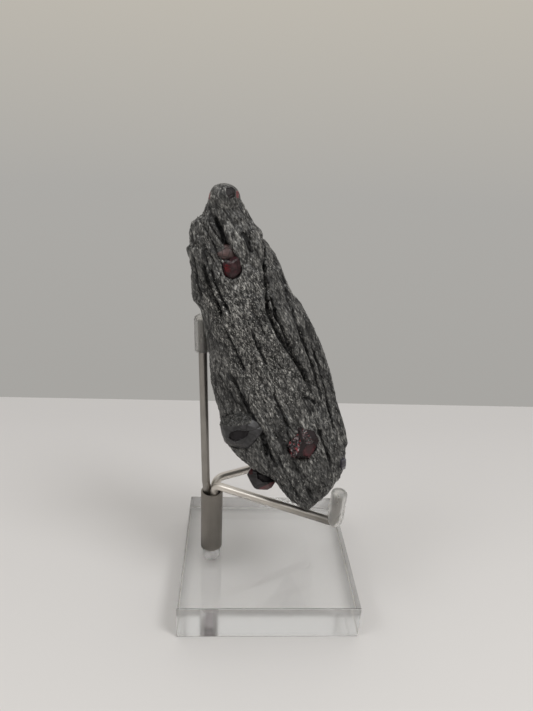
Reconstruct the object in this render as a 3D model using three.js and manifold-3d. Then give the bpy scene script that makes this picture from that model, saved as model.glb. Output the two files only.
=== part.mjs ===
// Garnet schist specimen on a small display stand.
// Millimetres, +Z up. Origin at the centre of the acrylic block's underside.
// +X is the way the two cradle arms point, +Y is the side away from the viewer.

import * as THREE from 'three';
import { mergeVertices } from 'three/addons/utils/BufferGeometryUtils.js';
import Module from 'manifold-3d';

const wasm = await Module();
wasm.setup();

// Acrylic block
const BLOCK = 50;
const BLOCK_H = 10;
const BLOCK_CHAMFER = 0.7;
const STUD_HOLE_R = 2.6;
const STUD_HOLE_Z = 3.6;

// Post and its stud
const POST_X = -16.8;
const POST_R = 3.2;
const POST_Z0 = 10.1;
const POST_Z1 = 30.0;
const POST_TAP_R = 2.2;
const POST_TAP_TOP = 18.2;
const POST_WELL_R = 2.62;
const POST_WELL_Z = 19.6;
const STUD_LOW_R = 2.45;
const STUD_HIGH_R = 2.0;
const STUD_Z0 = 3.75;
const STUD_STEP_Z = 9.9;
const STUD_TOP = 17.6;

// Bent wires
const WIRE_R = 1.15;
const WIRE_SIDES = 12;
const WIRE_Z0 = 20.0;
const WIRE_PITCH_R = 1.39;
const ARM_Z = 33.0;
const ARM_TIP_Z = 41.4;

// Clear sleeves
const SLEEVE_R = 2.1;
const SLEEVE_BORE_R = 1.3;
const SLEEVE_SIDES = 18;
const SLEEVE_TIP_Z = 42.0;

// Clearance left round each crystal in its socket
const SOCKET_GAP = 0.2;

const looks = {
  acrylic: { color: 0xd8dcda, roughness: 0.05, metalness: 0.0 },
  steel: { color: 0x8d8880, roughness: 0.32, metalness: 1.0 },
  screw: { color: 0x77737a, roughness: 0.4, metalness: 1.0 },
  vinyl: { color: 0xcfccc6, roughness: 0.25, metalness: 0.0 },
  schist: { color: 0x4a4a48, roughness: 0.55, metalness: 0.0 },
  garnet: { color: 0x5a1520, roughness: 0.15, metalness: 0.0 },
  coated: { color: 0x3c3b3f, roughness: 0.4, metalness: 0.0 },
};

const object = new THREE.Group();
object.name = 'garnet_in_matrix';

function plain(geometry) {
  const copy = geometry.clone();
  copy.deleteAttribute('normal');
  copy.deleteAttribute('uv');
  return mergeVertices(copy, 1e-4);
}

function toSolid(geometry) {
  const merged = plain(geometry);
  const triVerts = Uint32Array.from(merged.index.array);
  const vertProperties = Float32Array.from(merged.attributes.position.array);
  return new wasm.Manifold(new wasm.Mesh({ numProp: 3, vertProperties, triVerts }));
}

function toGeometry(solid) {
  const mesh = solid.getMesh();
  const geometry = new THREE.BufferGeometry();
  geometry.setAttribute('position', new THREE.BufferAttribute(Float32Array.from(mesh.vertProperties), 3));
  geometry.setIndex(new THREE.BufferAttribute(Uint32Array.from(mesh.triVerts), 1));
  return geometry;
}

function add(name, geometry, look, parent = object) {
  const shaded = geometry.index ? geometry.toNonIndexed() : geometry;
  shaded.computeVertexNormals();
  const mesh = new THREE.Mesh(shaded, new THREE.MeshStandardMaterial(look));
  mesh.name = name;
  parent.add(mesh);
  return mesh;
}

function lathe(profile, sides) {
  const points = profile.map(([r, z]) => new THREE.Vector2(r, z));
  const geometry = new THREE.LatheGeometry(points, sides);
  geometry.rotateX(Math.PI / 2);
  return geometry;
}

function roundBar(path, radius, sides, steps) {
  const outline = new THREE.Shape();
  for (let i = 0; i < sides; i += 1) {
    const a = (i / sides) * Math.PI * 2;
    const x = radius * Math.cos(a);
    const y = radius * Math.sin(a);
    if (i === 0) outline.moveTo(x, y);
    else outline.lineTo(x, y);
  }
  outline.closePath();
  return new THREE.ExtrudeGeometry(outline, { steps, extrudePath: path, bevelEnabled: false, curveSegments: 1 });
}

const at = (x, y, z) => new THREE.Vector3(x, y, z);

// Acrylic block: chamfered edges, blind hole under the post for its stud
function blockBlank() {
  const h = BLOCK / 2;
  const c = BLOCK_CHAMFER;
  const outline = new THREE.Shape();
  outline.moveTo(-h + c + 0.3, -h + c);
  outline.lineTo(h - c - 0.3, -h + c);
  outline.lineTo(h - c, -h + c + 0.3);
  outline.lineTo(h - c, h - c - 0.3);
  outline.lineTo(h - c - 0.3, h - c);
  outline.lineTo(-h + c + 0.3, h - c);
  outline.lineTo(-h + c, h - c - 0.3);
  outline.lineTo(-h + c, -h + c + 0.3);
  outline.closePath();
  const geometry = new THREE.ExtrudeGeometry(outline, {
    depth: BLOCK_H - 2 * c,
    bevelEnabled: true,
    bevelThickness: c,
    bevelSize: c,
    bevelSegments: 1,
    curveSegments: 1,
  });
  geometry.translate(0, 0, c);
  return geometry;
}
const studHole = lathe([[0, STUD_HOLE_Z], [STUD_HOLE_R, STUD_HOLE_Z], [STUD_HOLE_R, BLOCK_H + 1],
  [0, BLOCK_H + 1]], 32);
studHole.translate(POST_X, 0, 0);
add('base_block', toGeometry(toSolid(blockBlank()).subtract(toSolid(studHole))), looks.acrylic);

// Stud: thick lower half in the block's blind hole, thinner upper half in the post
const stud = add('base_stud', lathe([[0, STUD_Z0], [STUD_LOW_R - 0.5, STUD_Z0], [STUD_LOW_R, STUD_Z0 + 0.5],
  [STUD_LOW_R, STUD_STEP_Z], [STUD_HIGH_R, STUD_STEP_Z], [STUD_HIGH_R, STUD_TOP - 0.6],
  [STUD_HIGH_R - 0.6, STUD_TOP], [0, STUD_TOP]], 28), looks.screw);
stud.position.set(POST_X, 0, 0);

// Post: turned steel, tapped from below, with an open well at the top that holds the wires
const post = add('post', lathe([[0, POST_TAP_TOP], [POST_TAP_R, POST_TAP_TOP - 0.8], [POST_TAP_R, POST_Z0],
  [POST_R, POST_Z0], [POST_R, POST_Z1], [POST_WELL_R, POST_Z1], [POST_WELL_R, POST_WELL_Z],
  [0, POST_WELL_Z]], 36), looks.steel);
post.position.set(POST_X, 0, 0);

// Upright back rod, leaning back by about a degree and a half above the post
const rodPath = new THREE.CurvePath();
const rodX = POST_X - WIRE_PITCH_R;
rodPath.add(new THREE.LineCurve3(at(rodX, 0, WIRE_Z0), at(rodX, 0, 28.6)));
rodPath.add(new THREE.QuadraticBezierCurve3(at(rodX, 0, 28.6), at(rodX - 0.05, 0, 30.8), at(-18.6, 0, 33.4)));
rodPath.add(new THREE.LineCurve3(at(-18.6, 0, 33.4), at(-19.86, 0, 82.4)));
add('back_rod', roundBar(rodPath, WIRE_R, WIRE_SIDES, 24), looks.steel);

// Cradle arms: out of the post, 27 degrees to either side of +X, tips turned up
function armPath(side) {
  const x0 = POST_X + WIRE_PITCH_R / 2;
  const y0 = side * 1.2;
  const path = new THREE.CurvePath();
  path.add(new THREE.LineCurve3(at(x0, y0, WIRE_Z0), at(x0, y0, 30.4)));
  path.add(new THREE.QuadraticBezierCurve3(at(x0, y0, 30.4), at(x0 + 0.1, y0 + side * 0.2, ARM_Z - 0.1),
    at(-13.6, side * 2.9, ARM_Z)));
  path.add(new THREE.LineCurve3(at(-13.6, side * 2.9, ARM_Z), at(14.9, side * 17.4, ARM_Z)));
  path.add(new THREE.QuadraticBezierCurve3(at(14.9, side * 17.4, ARM_Z), at(16.5, side * 18.2, ARM_Z),
    at(16.62, side * 18.25, ARM_Z + 2.1)));
  path.add(new THREE.LineCurve3(at(16.62, side * 18.25, ARM_Z + 2.1), at(16.95, side * 18.3, ARM_TIP_Z)));
  return path;
}
add('near_arm', roundBar(armPath(-1), WIRE_R, WIRE_SIDES, 44), looks.steel);
add('far_arm', roundBar(armPath(1), WIRE_R, WIRE_SIDES, 44), looks.steel);

// Clear sleeves: round-nosed caps over the rod's top and over the two turned-up tips
function domeCap(x, y, z, radius) {
  const ball = new THREE.SphereGeometry(radius, SLEEVE_SIDES, 10);
  ball.rotateX(Math.PI / 2);
  ball.scale(1, 1, 0.62);
  ball.translate(x, y, z);
  return ball;
}
function tipRoute(side, overrun) {
  const path = new THREE.CurvePath();
  path.add(new THREE.LineCurve3(at(14.0 - overrun, side * (16.94 - overrun * 0.51), ARM_Z), at(14.9, side * 17.4, ARM_Z)));
  path.add(new THREE.QuadraticBezierCurve3(at(14.9, side * 17.4, ARM_Z), at(16.5, side * 18.2, ARM_Z),
    at(16.62, side * 18.25, ARM_Z + 2.1)));
  path.add(new THREE.LineCurve3(at(16.62, side * 18.25, ARM_Z + 2.1),
    at(16.95, side * 18.3, overrun > 0 ? ARM_TIP_Z + 0.15 : SLEEVE_TIP_Z)));
  return path;
}
function tipSleeve(side) {
  const outer = toSolid(roundBar(tipRoute(side, 0), SLEEVE_R, SLEEVE_SIDES, 14));
  const nose = toSolid(domeCap(16.95, side * 18.3, SLEEVE_TIP_Z - 0.05, SLEEVE_R - 0.01));
  const bore = toSolid(roundBar(tipRoute(side, 1.2), SLEEVE_BORE_R, WIRE_SIDES, 16));
  return toGeometry(outer.add(nose).subtract(bore));
}
add('near_sleeve', tipSleeve(-1), looks.vinyl);
add('far_sleeve', tipSleeve(1), looks.vinyl);
const backSleeveOuter = lathe([[0, 0], [SLEEVE_R, 0], [SLEEVE_R, 8.5], [SLEEVE_R * 0.9, 9.3],
  [SLEEVE_R * 0.6, 9.85], [0, 10.1]], SLEEVE_SIDES);
const backSleeveBore = lathe([[0, -1], [SLEEVE_BORE_R, -1], [SLEEVE_BORE_R, 8.6], [0, 8.6]], WIRE_SIDES);
const backSleeve = add('back_sleeve', toGeometry(toSolid(backSleeveOuter).subtract(toSolid(backSleeveBore))),
  looks.vinyl);
backSleeve.position.set(-19.64, 0, 74.0);
backSleeve.rotation.y = -Math.atan(1.26 / 49);

// Rock: level sections of the slab, from the keel that rests on both arms to the crown
// z, left x, right x, y of the two side edges, near y, far y
const sections = [
  [34.45, 8.2, 10.8, -13.7, -15.2, 15.2],
  [36.2, 5.9, 13.0, -13.0, -15.9, 15.6],
  [38.5, 2.9, 15.7, -12.2, -16.3, 15.8],
  [41.5, 0.5, 17.8, -11.3, -16.4, 15.8],
  [44.5, -4.2, 19.6, -10.3, -16.3, 15.5],
  [48.0, -9.0, 19.9, -9.5, -16.0, 15.0],
  [52.0, -12.2, 19.9, -8.8, -15.5, 14.2],
  [57.0, -13.8, 18.7, -7.8, -15.0, 13.4],
  [62.0, -15.2, 17.0, -7.0, -14.3, 12.6],
  [68.0, -17.3, 15.3, -6.2, -13.8, 11.8],
  [74.0, -17.8, 13.2, -5.7, -13.2, 11.0],
  [80.0, -18.6, 10.3, -5.2, -12.6, 10.2],
  [86.0, -20.0, 6.7, -4.8, -12.0, 9.4],
  [89.5, -22.2, 4.6, -4.6, -11.4, 8.8],
  [94.0, -22.3, 1.5, -4.4, -10.8, 7.9],
  [99.0, -22.7, -0.8, -4.3, -10.0, 6.8],
  [102.5, -23.2, -3.2, -4.2, -9.4, 5.8],
  [105.5, -22.8, -6.1, -4.1, -8.9, 4.9],
  [108.5, -21.3, -7.6, -4.0, -8.4, 4.0],
  [111.5, -19.0, -9.2, -4.0, -8.0, 3.0],
  [114.5, -18.0, -10.8, -4.0, -7.4, 1.6],
  [116.2, -17.0, -11.6, -4.0, -6.4, 0.2],
  [117.2, -15.2, -13.0, -4.0, -4.9, -2.2],
];
const QUARTER = 7;

// Each quarter of a section is an arc of its own fullness: sharper in front, rounder behind.
function sectionRing([z, xl, xr, ye, yn, yf]) {
  const xn = xl + 0.45 * (xr - xl);
  const xf = xl + 0.5 * (xr - xl);
  const quarters = [
    { x: xn, from: [-(xn - xl), 0], to: [0, yn - ye], full: 1.8 },
    { x: xn, from: [0, yn - ye], to: [xr - xn, 0], full: 1.5 },
    { x: xf, from: [xr - xf, 0], to: [0, yf - ye], full: 2.2 },
    { x: xf, from: [0, yf - ye], to: [-(xf - xl), 0], full: 1.85 },
  ];
  const ring = [];
  for (const q of quarters) {
    for (let i = 0; i < QUARTER; i += 1) {
      const a = ((i / QUARTER) * Math.PI) / 2;
      const u = Math.cos(a) ** (2 / q.full);
      const v = Math.sin(a) ** (2 / q.full);
      ring.push([q.x + q.from[0] * u + q.to[0] * v, ye + q.from[1] * u + q.to[1] * v, z]);
    }
  }
  return ring;
}

// Broken, stepped surface: each corner moves in or out by a fixed rule, never below the keel.
function roughen([x, y, z], k, i) {
  if (k === 0) return [x, y, z];
  const wave = Math.sin(i * 2.4 + 0.9 * Math.floor(k / 2)) * 0.28 + Math.sin(i * 5.1 + k * 1.7) * 0.14;
  const middle = [sections[k][1] * 0.5 + sections[k][2] * 0.5, 0];
  const reach = Math.hypot(x - middle[0], y - middle[1]);
  const grow = 1 + (Math.min(wave, 0.1) - 0.1) / reach;
  return [middle[0] + (x - middle[0]) * grow, middle[1] + (y - middle[1]) * grow, z];
}

function rockBlank() {
  const rings = sections.map((s, k) => sectionRing(s).map((p, i) => roughen(p, k, i)));
  const count = rings[0].length;
  const positions = [];
  rings.forEach((ring) => ring.forEach((p) => positions.push(...p)));
  const mid = (ring) => [0, 1, 2].map((j) => ring.reduce((sum, p) => sum + p[j], 0) / count);
  const bottom = positions.length / 3;
  positions.push(...mid(rings[0]));
  positions.push(...mid(rings[rings.length - 1]));
  const faces = [];
  for (let k = 0; k + 1 < rings.length; k += 1) {
    for (let i = 0; i < count; i += 1) {
      const a = k * count + i;
      const b = k * count + ((i + 1) % count);
      faces.push(a, b, b + count);
      faces.push(a, b + count, a + count);
    }
  }
  const last = (rings.length - 1) * count;
  for (let i = 0; i < count; i += 1) {
    faces.push(bottom, (i + 1) % count, i);
    faces.push(bottom + 1, last + i, last + ((i + 1) % count));
  }
  const geometry = new THREE.BufferGeometry();
  geometry.setAttribute('position', new THREE.Float32BufferAttribute(positions, 3));
  geometry.setIndex(faces);
  return geometry;
}

// Garnets: rhombic dodecahedra, twelve rhombs on fourteen corners, each set in its own socket
const DODECA = [
  [1, 1, 1], [1, 1, -1], [1, -1, 1], [1, -1, -1], [-1, 1, 1], [-1, 1, -1], [-1, -1, 1], [-1, -1, -1],
  [2, 0, 0], [-2, 0, 0], [0, 2, 0], [0, -2, 0], [0, 0, 2], [0, 0, -2],
];
const RHOMBS = [
  [8, 0, 10, 1], [8, 3, 11, 2], [8, 2, 12, 0], [8, 1, 13, 3],
  [9, 5, 10, 4], [9, 6, 11, 7], [9, 4, 12, 6], [9, 7, 13, 5],
  [10, 0, 12, 4], [10, 5, 13, 1], [11, 6, 12, 2], [11, 3, 13, 7],
];
function garnetGeometry({ centre, radius, stretch, turn }, grow) {
  const unit = radius / 1.85;
  const basis = new THREE.Matrix4().makeRotationFromEuler(new THREE.Euler(...turn));
  const corners = DODECA.map(([x, y, z]) => at(x, y, z)
    .multiplyScalar(unit)
    .multiply(at(...stretch))
    .multiplyScalar(1 + grow / radius)
    .applyMatrix4(basis)
    .add(at(...centre)));
  const positions = [];
  const push = (...ids) => ids.forEach((i) => positions.push(corners[i].x, corners[i].y, corners[i].z));
  RHOMBS.forEach(([a, b, c, d]) => {
    push(a, c, b);
    push(a, d, c);
  });
  const geometry = new THREE.BufferGeometry();
  geometry.setAttribute('position', new THREE.Float32BufferAttribute(positions, 3));
  return geometry;
}

const garnets = [
  { name: 'garnet_crown', centre: [-13.5, -4.6, 113.9], radius: 3.3, stretch: [1, 1, 1], turn: [0.3, 0.5, 0.2] },
  { name: 'garnet_upper', centre: [-12.45, -8.7, 98.2], radius: 2.9, stretch: [0.95, 0.9, 1.1], turn: [0.5, 0.1, 0.3] },
  { name: 'garnet_upper_cap', centre: [-13.3, -7.7, 102.9], radius: 1.8, stretch: [1.1, 1, 0.8], turn: [0.2, 0.6, 0.1],
    coated: true },
  { name: 'garnet_left', centre: [-8.9, -10.2, 55.6], radius: 5.6, stretch: [1.05, 0.9, 0.98], turn: [0.55, 0.35, 0.15],
    coated: true },
  { name: 'garnet_lower_edge', centre: [-2.3, -9.8, 41.4], radius: 3.5, stretch: [1.05, 1, 0.95], turn: [0.2, 0.45, 0.5] },
  { name: 'garnet_right', centre: [7.3, -12.2, 52.9], radius: 3.9, stretch: [0.95, 0.9, 1.1], turn: [0.4, 0.75, 0.1] },
  { name: 'garnet_edge_chip', centre: [19.0, -10.3, 45.8], radius: 1.4, stretch: [1, 1, 1], turn: [0.1, 0.3, 0.7] },
  { name: 'garnet_back_middle', centre: [-3.5, 10.2, 71.0], radius: 3.1, stretch: [1, 0.95, 1], turn: [0.7, 0.2, 0.4] },
  { name: 'garnet_back_low', centre: [6.5, 13.6, 53.5], radius: 3.4, stretch: [1, 0.95, 1.05], turn: [0.3, 0.9, 0.2] },
];

let rock = toSolid(rockBlank());
garnets.forEach((g) => {
  rock = rock.subtract(toSolid(garnetGeometry(g, SOCKET_GAP)));
});

// A shallow flat is worn where the rock leans on the back sleeve.
const leanFlat = new THREE.BoxGeometry(4, 7, 18);
leanFlat.rotateY(-Math.atan(1.26 / 49));
leanFlat.translate(-19.5, 0, 79.0);
rock = rock.subtract(toSolid(leanFlat));
add('matrix', toGeometry(rock), looks.schist);

garnets.forEach((g) => {
  add(g.name, garnetGeometry(g, 0), g.coated ? looks.coated : looks.garnet);
});

export default object;
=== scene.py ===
"""Garnet schist specimen leaning on a small wire stand with a clear acrylic block.

Laid out as an add-on: sizes and colours are properties, each piece or group of like pieces has
an operator, and main() runs them in order. Shapes are worked out in millimetres, +Z up, with the
origin at the centre of the block's underside, and are stored in metres.
"""

import math
from itertools import product

import bmesh
import bpy
import numpy as np
from bpy.props import FloatProperty, FloatVectorProperty, IntProperty, PointerProperty
from mathutils import Matrix, Vector


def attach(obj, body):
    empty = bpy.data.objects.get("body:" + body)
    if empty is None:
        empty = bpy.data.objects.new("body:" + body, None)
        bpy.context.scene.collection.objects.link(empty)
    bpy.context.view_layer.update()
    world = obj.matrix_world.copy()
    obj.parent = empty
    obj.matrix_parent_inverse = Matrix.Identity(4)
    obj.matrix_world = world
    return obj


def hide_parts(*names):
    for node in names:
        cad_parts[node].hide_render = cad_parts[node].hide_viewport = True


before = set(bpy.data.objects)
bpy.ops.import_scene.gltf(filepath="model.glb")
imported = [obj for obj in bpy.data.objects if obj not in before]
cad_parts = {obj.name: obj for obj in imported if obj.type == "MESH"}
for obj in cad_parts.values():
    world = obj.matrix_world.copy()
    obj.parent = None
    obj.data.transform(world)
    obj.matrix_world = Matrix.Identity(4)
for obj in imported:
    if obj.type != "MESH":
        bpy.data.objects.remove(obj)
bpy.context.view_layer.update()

bl_info = {
    "name": "Garnet schist specimen",
    "version": (1, 0, 0),
    "blender": (4, 5, 0),
    "location": "View3D > Sidebar > Specimen",
    "description": "Builds a garnet-bearing schist slab on its wire stand and acrylic block",
    "category": "Object",
}

MM = 0.001

# Lie of the rock's grain: it runs down to the right, in the XZ plane
GRAIN_TILT = math.radians(32.0)
ALONG = np.array([math.sin(GRAIN_TILT), 0.0, -math.cos(GRAIN_TILT)])
ACROSS = np.array([math.cos(GRAIN_TILT), 0.0, math.sin(GRAIN_TILT)])

# Stand layout
POST_X = -16.8
POST_R = 3.2
POST_Z = (10.1, 30.0)
BLOCK_TOP = 10.0
STUD_HOLE = (2.6, 3.6)
WELL_R = 2.62
WELL_FLOOR = 19.6
STUD_Z = (3.75, 17.6)
WIRE_PITCH_R = 1.39
WIRE_Z0 = 20.0
ARM_Z = 33.0
ARM_END = ((14.9, 17.4), (16.5, 18.2), (16.62, 18.25), (16.95, 18.3))
BACK_TIP = (-19.86, 82.4)
ARM_TOP = 41.4
ARM_SLEEVE_TOP = 41.9
BACK_SLEEVE_FOOT = (-19.64, 0.0, 74.0)
BACK_SLEEVE_LENGTH = 8.8
SLEEVE_PLAY = 0.08
SLEEVE_LEAN = math.atan(1.26 / 49.0)

# Heights of the rock's foot and crown
FOOT_Z = 34.4
CROWN_Z = 117.4

# Left and right outline of the slab: (height, x)
LEFT = [
    (34.45, 8.3), (36, 6.2), (37.5, 3.8), (39.5, 1.9), (41, 0.7), (43, -2), (44.6, -4.5),
    (46.5, -7.4), (49.2, -10.2), (52, -12.4), (56, -13.4), (58.6, -14.2), (61.9, -15.2),
    (65, -16.3), (68.6, -17.2), (72.1, -17.6), (75.7, -17.9), (79.2, -18.4), (82.6, -19.2),
    (85.7, -19.9), (87.6, -20.6), (88.9, -22), (91.6, -22.2), (95.2, -22.4), (96.4, -22.1),
    (99.3, -22.8), (102, -23.4), (102.9, -22.7), (105.6, -22.8), (108, -22.3), (109.4, -21.1),
    (110.1, -19.9), (111.5, -19.2), (112.7, -18.4), (114.3, -18), (116.1, -16.9), (116.9, -15.9),
    (117.3, -14.8),
]
RIGHT = [
    (34.45, 10.7), (35.6, 12.3), (36.8, 14.3), (38, 15.6), (39.5, 16.7), (41.1, 17.4), (42, 18.5),
    (44.5, 19.4), (47.2, 19.7), (49.6, 19.6), (52.1, 19.9), (54.7, 19.3), (58.4, 18.1), (62.1, 16.9),
    (65.7, 15.8), (70, 14.7), (74.1, 13.2), (78.3, 11.3), (82.9, 8.8), (86.8, 6.4), (88.8, 5.2),
    (90.6, 3.3), (94.1, 1.3), (97.9, -0.3), (100.8, -1.8), (103.4, -3.8), (105.2, -5.6), (106.2, -6.4),
    (108.8, -7.6), (111.3, -9.1), (113.8, -10.7), (115.8, -11.3), (116.9, -12.6), (117.3, -13.6),
]
# Depth of the slab: (height, y of the side edges, near face, far face)
DEPTH = [
    (34.45, -13.7, -15.2, 15.2), (36.2, -13, -15.9, 15.6), (38.5, -12.2, -16.3, 15.8),
    (41.5, -11.3, -16.4, 15.8), (44.5, -10.3, -16.3, 15.5), (48, -9.5, -16, 15),
    (52, -8.8, -15.5, 14.2), (57, -7.8, -15, 13.4), (62, -7, -14.3, 12.6),
    (68, -6.2, -13.8, 11.8), (74, -5.7, -13.2, 11), (80, -5.2, -12.6, 10.2),
    (86, -4.8, -12, 9.4), (94, -4.4, -10.8, 7.9), (102.5, -4.2, -9.4, 5.8),
    (108.5, -4, -8.4, 4), (111.5, -4, -8, 3), (114.5, -4, -7.4, 1.6),
    (116.2, -4, -6.4, 0.2), (117.3, -4, -4.6, -3),
]

# Clefts in the near face and in the far face: (depth, half width, [(x, z), ...])
CLEFTS = [
    (1.8, 0.5, [(-16.9, 110.6), (-15.2, 107.4), (-14, 104.6), (-12.4, 102), (-10.9, 100)]),
    (1.2, 0.5, [(-10.8, 106.6), (-9.4, 104.8), (-8.6, 103), (-7.8, 101.8)]),
    (1.9, 0.55, [(-5.4, 104.6), (-4.5, 101), (-4.4, 95), (-3.7, 88.6), (-1, 83), (2.6, 78.4),
        (6.4, 73), (9, 67)]),
    (1, 0.35, [(-3.2, 92.6), (-1.6, 87.6), (1.2, 82.2), (4, 77.6)]),
    (1.6, 0.55, [(-19.4, 99.4), (-18.2, 95.6), (-16.6, 91.8), (-15, 88.6), (-13.7, 86.4)]),
    (1, 0.4, [(-17.2, 98.6), (-15.8, 94.6), (-14, 91), (-12.2, 88.2)]),
    (1.3, 0.45, [(-12.6, 73), (-9.4, 66.6), (-7.4, 62.4), (-5.2, 59.4), (-3, 56.2), (-1.8, 51.8),
        (1, 47.2)]),
    (1.4, 0.55, [(-4.2, 58), (-3.2, 54.4), (-2.2, 50.2)]),
    (0.8, 0.4, [(6.8, 66.4), (9.4, 65.2), (11.2, 63.8)]),
    (0.9, 0.35, [(0.2, 97), (1.6, 91), (4.2, 84.6), (7.6, 78), (10.6, 71.4), (12.8, 64)]),
    (0.9, 0.35, [(9.2, 79.6), (12, 72.6), (14.2, 64.6), (15.6, 56.6)]),
    (0.9, 0.4, [(-21.6, 100.4), (-20.8, 95.6), (-19.6, 90.4)]),
    (0.9, 0.4, [(11, 58), (13.6, 52), (15.4, 46.4)]),
    (0.8, 0.35, [(-13.6, 84), (-10.6, 77.6), (-8.2, 72.6)]),
    (0.8, 0.35, [(-7.4, 84.4), (-5.4, 79.4), (-2.8, 74.8)]),
    (0.7, 0.35, [(-1.4, 68.4), (1.2, 63), (3, 58.6)]),
]
BACK_CLEFTS = [
    (1.5, 0.5, [(-16.4, 104), (-13, 97), (-10.8, 90), (-7.4, 82.6)]),
    (1.3, 0.5, [(-4.6, 99), (-1.4, 90.6), (1.6, 83), (3.4, 77)]),
    (1.4, 0.45, [(-14.6, 80), (-11.4, 72), (-8.2, 64.6), (-6.8, 57)]),
    (1.2, 0.45, [(2, 68.4), (6.4, 61), (11, 52.4), (13.2, 45)]),
    (1, 0.4, [(-4, 60.6), (-0.6, 52.8), (4.6, 44)]),
]

# Steps in the near face: (depth, width, route); what lies to the right of the route is set back
TERRACES = [
    (1, 1.2, [(-5.6, 106), (-4.5, 101), (-4.4, 95), (-3.7, 88.6), (-1, 83), (2.6, 78.4),
        (6.4, 73), (9.4, 66), (11.5, 58)]),
    (-0.9, 1, [(-17.4, 108.5), (-14.6, 105), (-12.9, 101.6), (-11.6, 98.4)]),
    (-0.8, 1, [(-19.4, 99.4), (-18.2, 95.6), (-16.6, 91.8), (-14.6, 88), (-12, 80)]),
]

# Crystals: name, centre, radius, way that one rhombic face looks, its spin in degrees, stretch,
# finish and seed
CRYSTALS = [
    ("garnet_crown", (-14.45, -4.9, 113.55), 4.05, (0.45, -0.8, 0.42), 30, (1, 0.95, 1), "dusted", 3),
    ("garnet_upper", (-12.25, -8.9, 98.5), 3, (0.5, -0.83, 0.22), 55, (0.84, 1, 1.08), "filmed", 11),
    ("garnet_upper_cap", (-13.5, -7.9, 101.7), 2.6, (-0.2, -0.8, 0.55), 35, (1, 1, 0.95), "skinned",
     5),
    ("garnet_left", (-8.65, -10.2, 56.75), 6.15, (0.1, -0.96, 0.2), 12, (1, 1, 0.98), "coated", 7),
    ("garnet_lower_edge", (-2.7, -9.9, 42), 4.45, (0.55, -0.72, 0.42), 70, (1, 1, 0.95), "satin",
     9),
    ("garnet_right", (6.75, -12.5, 53.9), 4.85, (0.3, -0.94, 0.1), 20, (0.9, 0.95, 1.08), "dark", 13),
    # The edge chip's pale violet-white finish is a painted glint
    ("garnet_edge_chip", (18.6, -10.7, 46.4), 1.5, (0.3, -0.8, 0.5), 40, (0.8, 1, 1.2), "pale", 15),
    ("garnet_back_middle", (-3.5, 10.2, 71), 3.2, (0.2, 0.9, 0.3), 23, (1, 1, 1), "red", 17),
    ("garnet_back_low", (6.5, 13.6, 53.5), 3.5, (-0.3, 0.85, 0.35), 12, (1, 1, 1.05), "coated", 19),
]

# How rounded the worn crystals are (0..1)
WORN = {"garnet_crown": 0.85, "garnet_upper": 0.30, "garnet_upper_cap": 0.35, "garnet_left": 0.30,
        "garnet_lower_edge": 0.15, "garnet_right": 0.10}

# Where the camera stands and how it is turned; the areas below are cut as it sees them
EYE = (-11.27, -139.06, 126.75)
EYE_TURNS = ((-3.57, "Z"), (-21.08, "X"), (-2.75, "Y"))

# Lamps: name, place and size in metres, power
LAMPS = (("key", (0.30, -0.25, 0.62), 0.24, 1.5), ("fill", (-0.36, -0.16, 0.50), 0.20, 0.42))
LAMP_AIM = (0.0, 0.0, 0.05)

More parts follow.
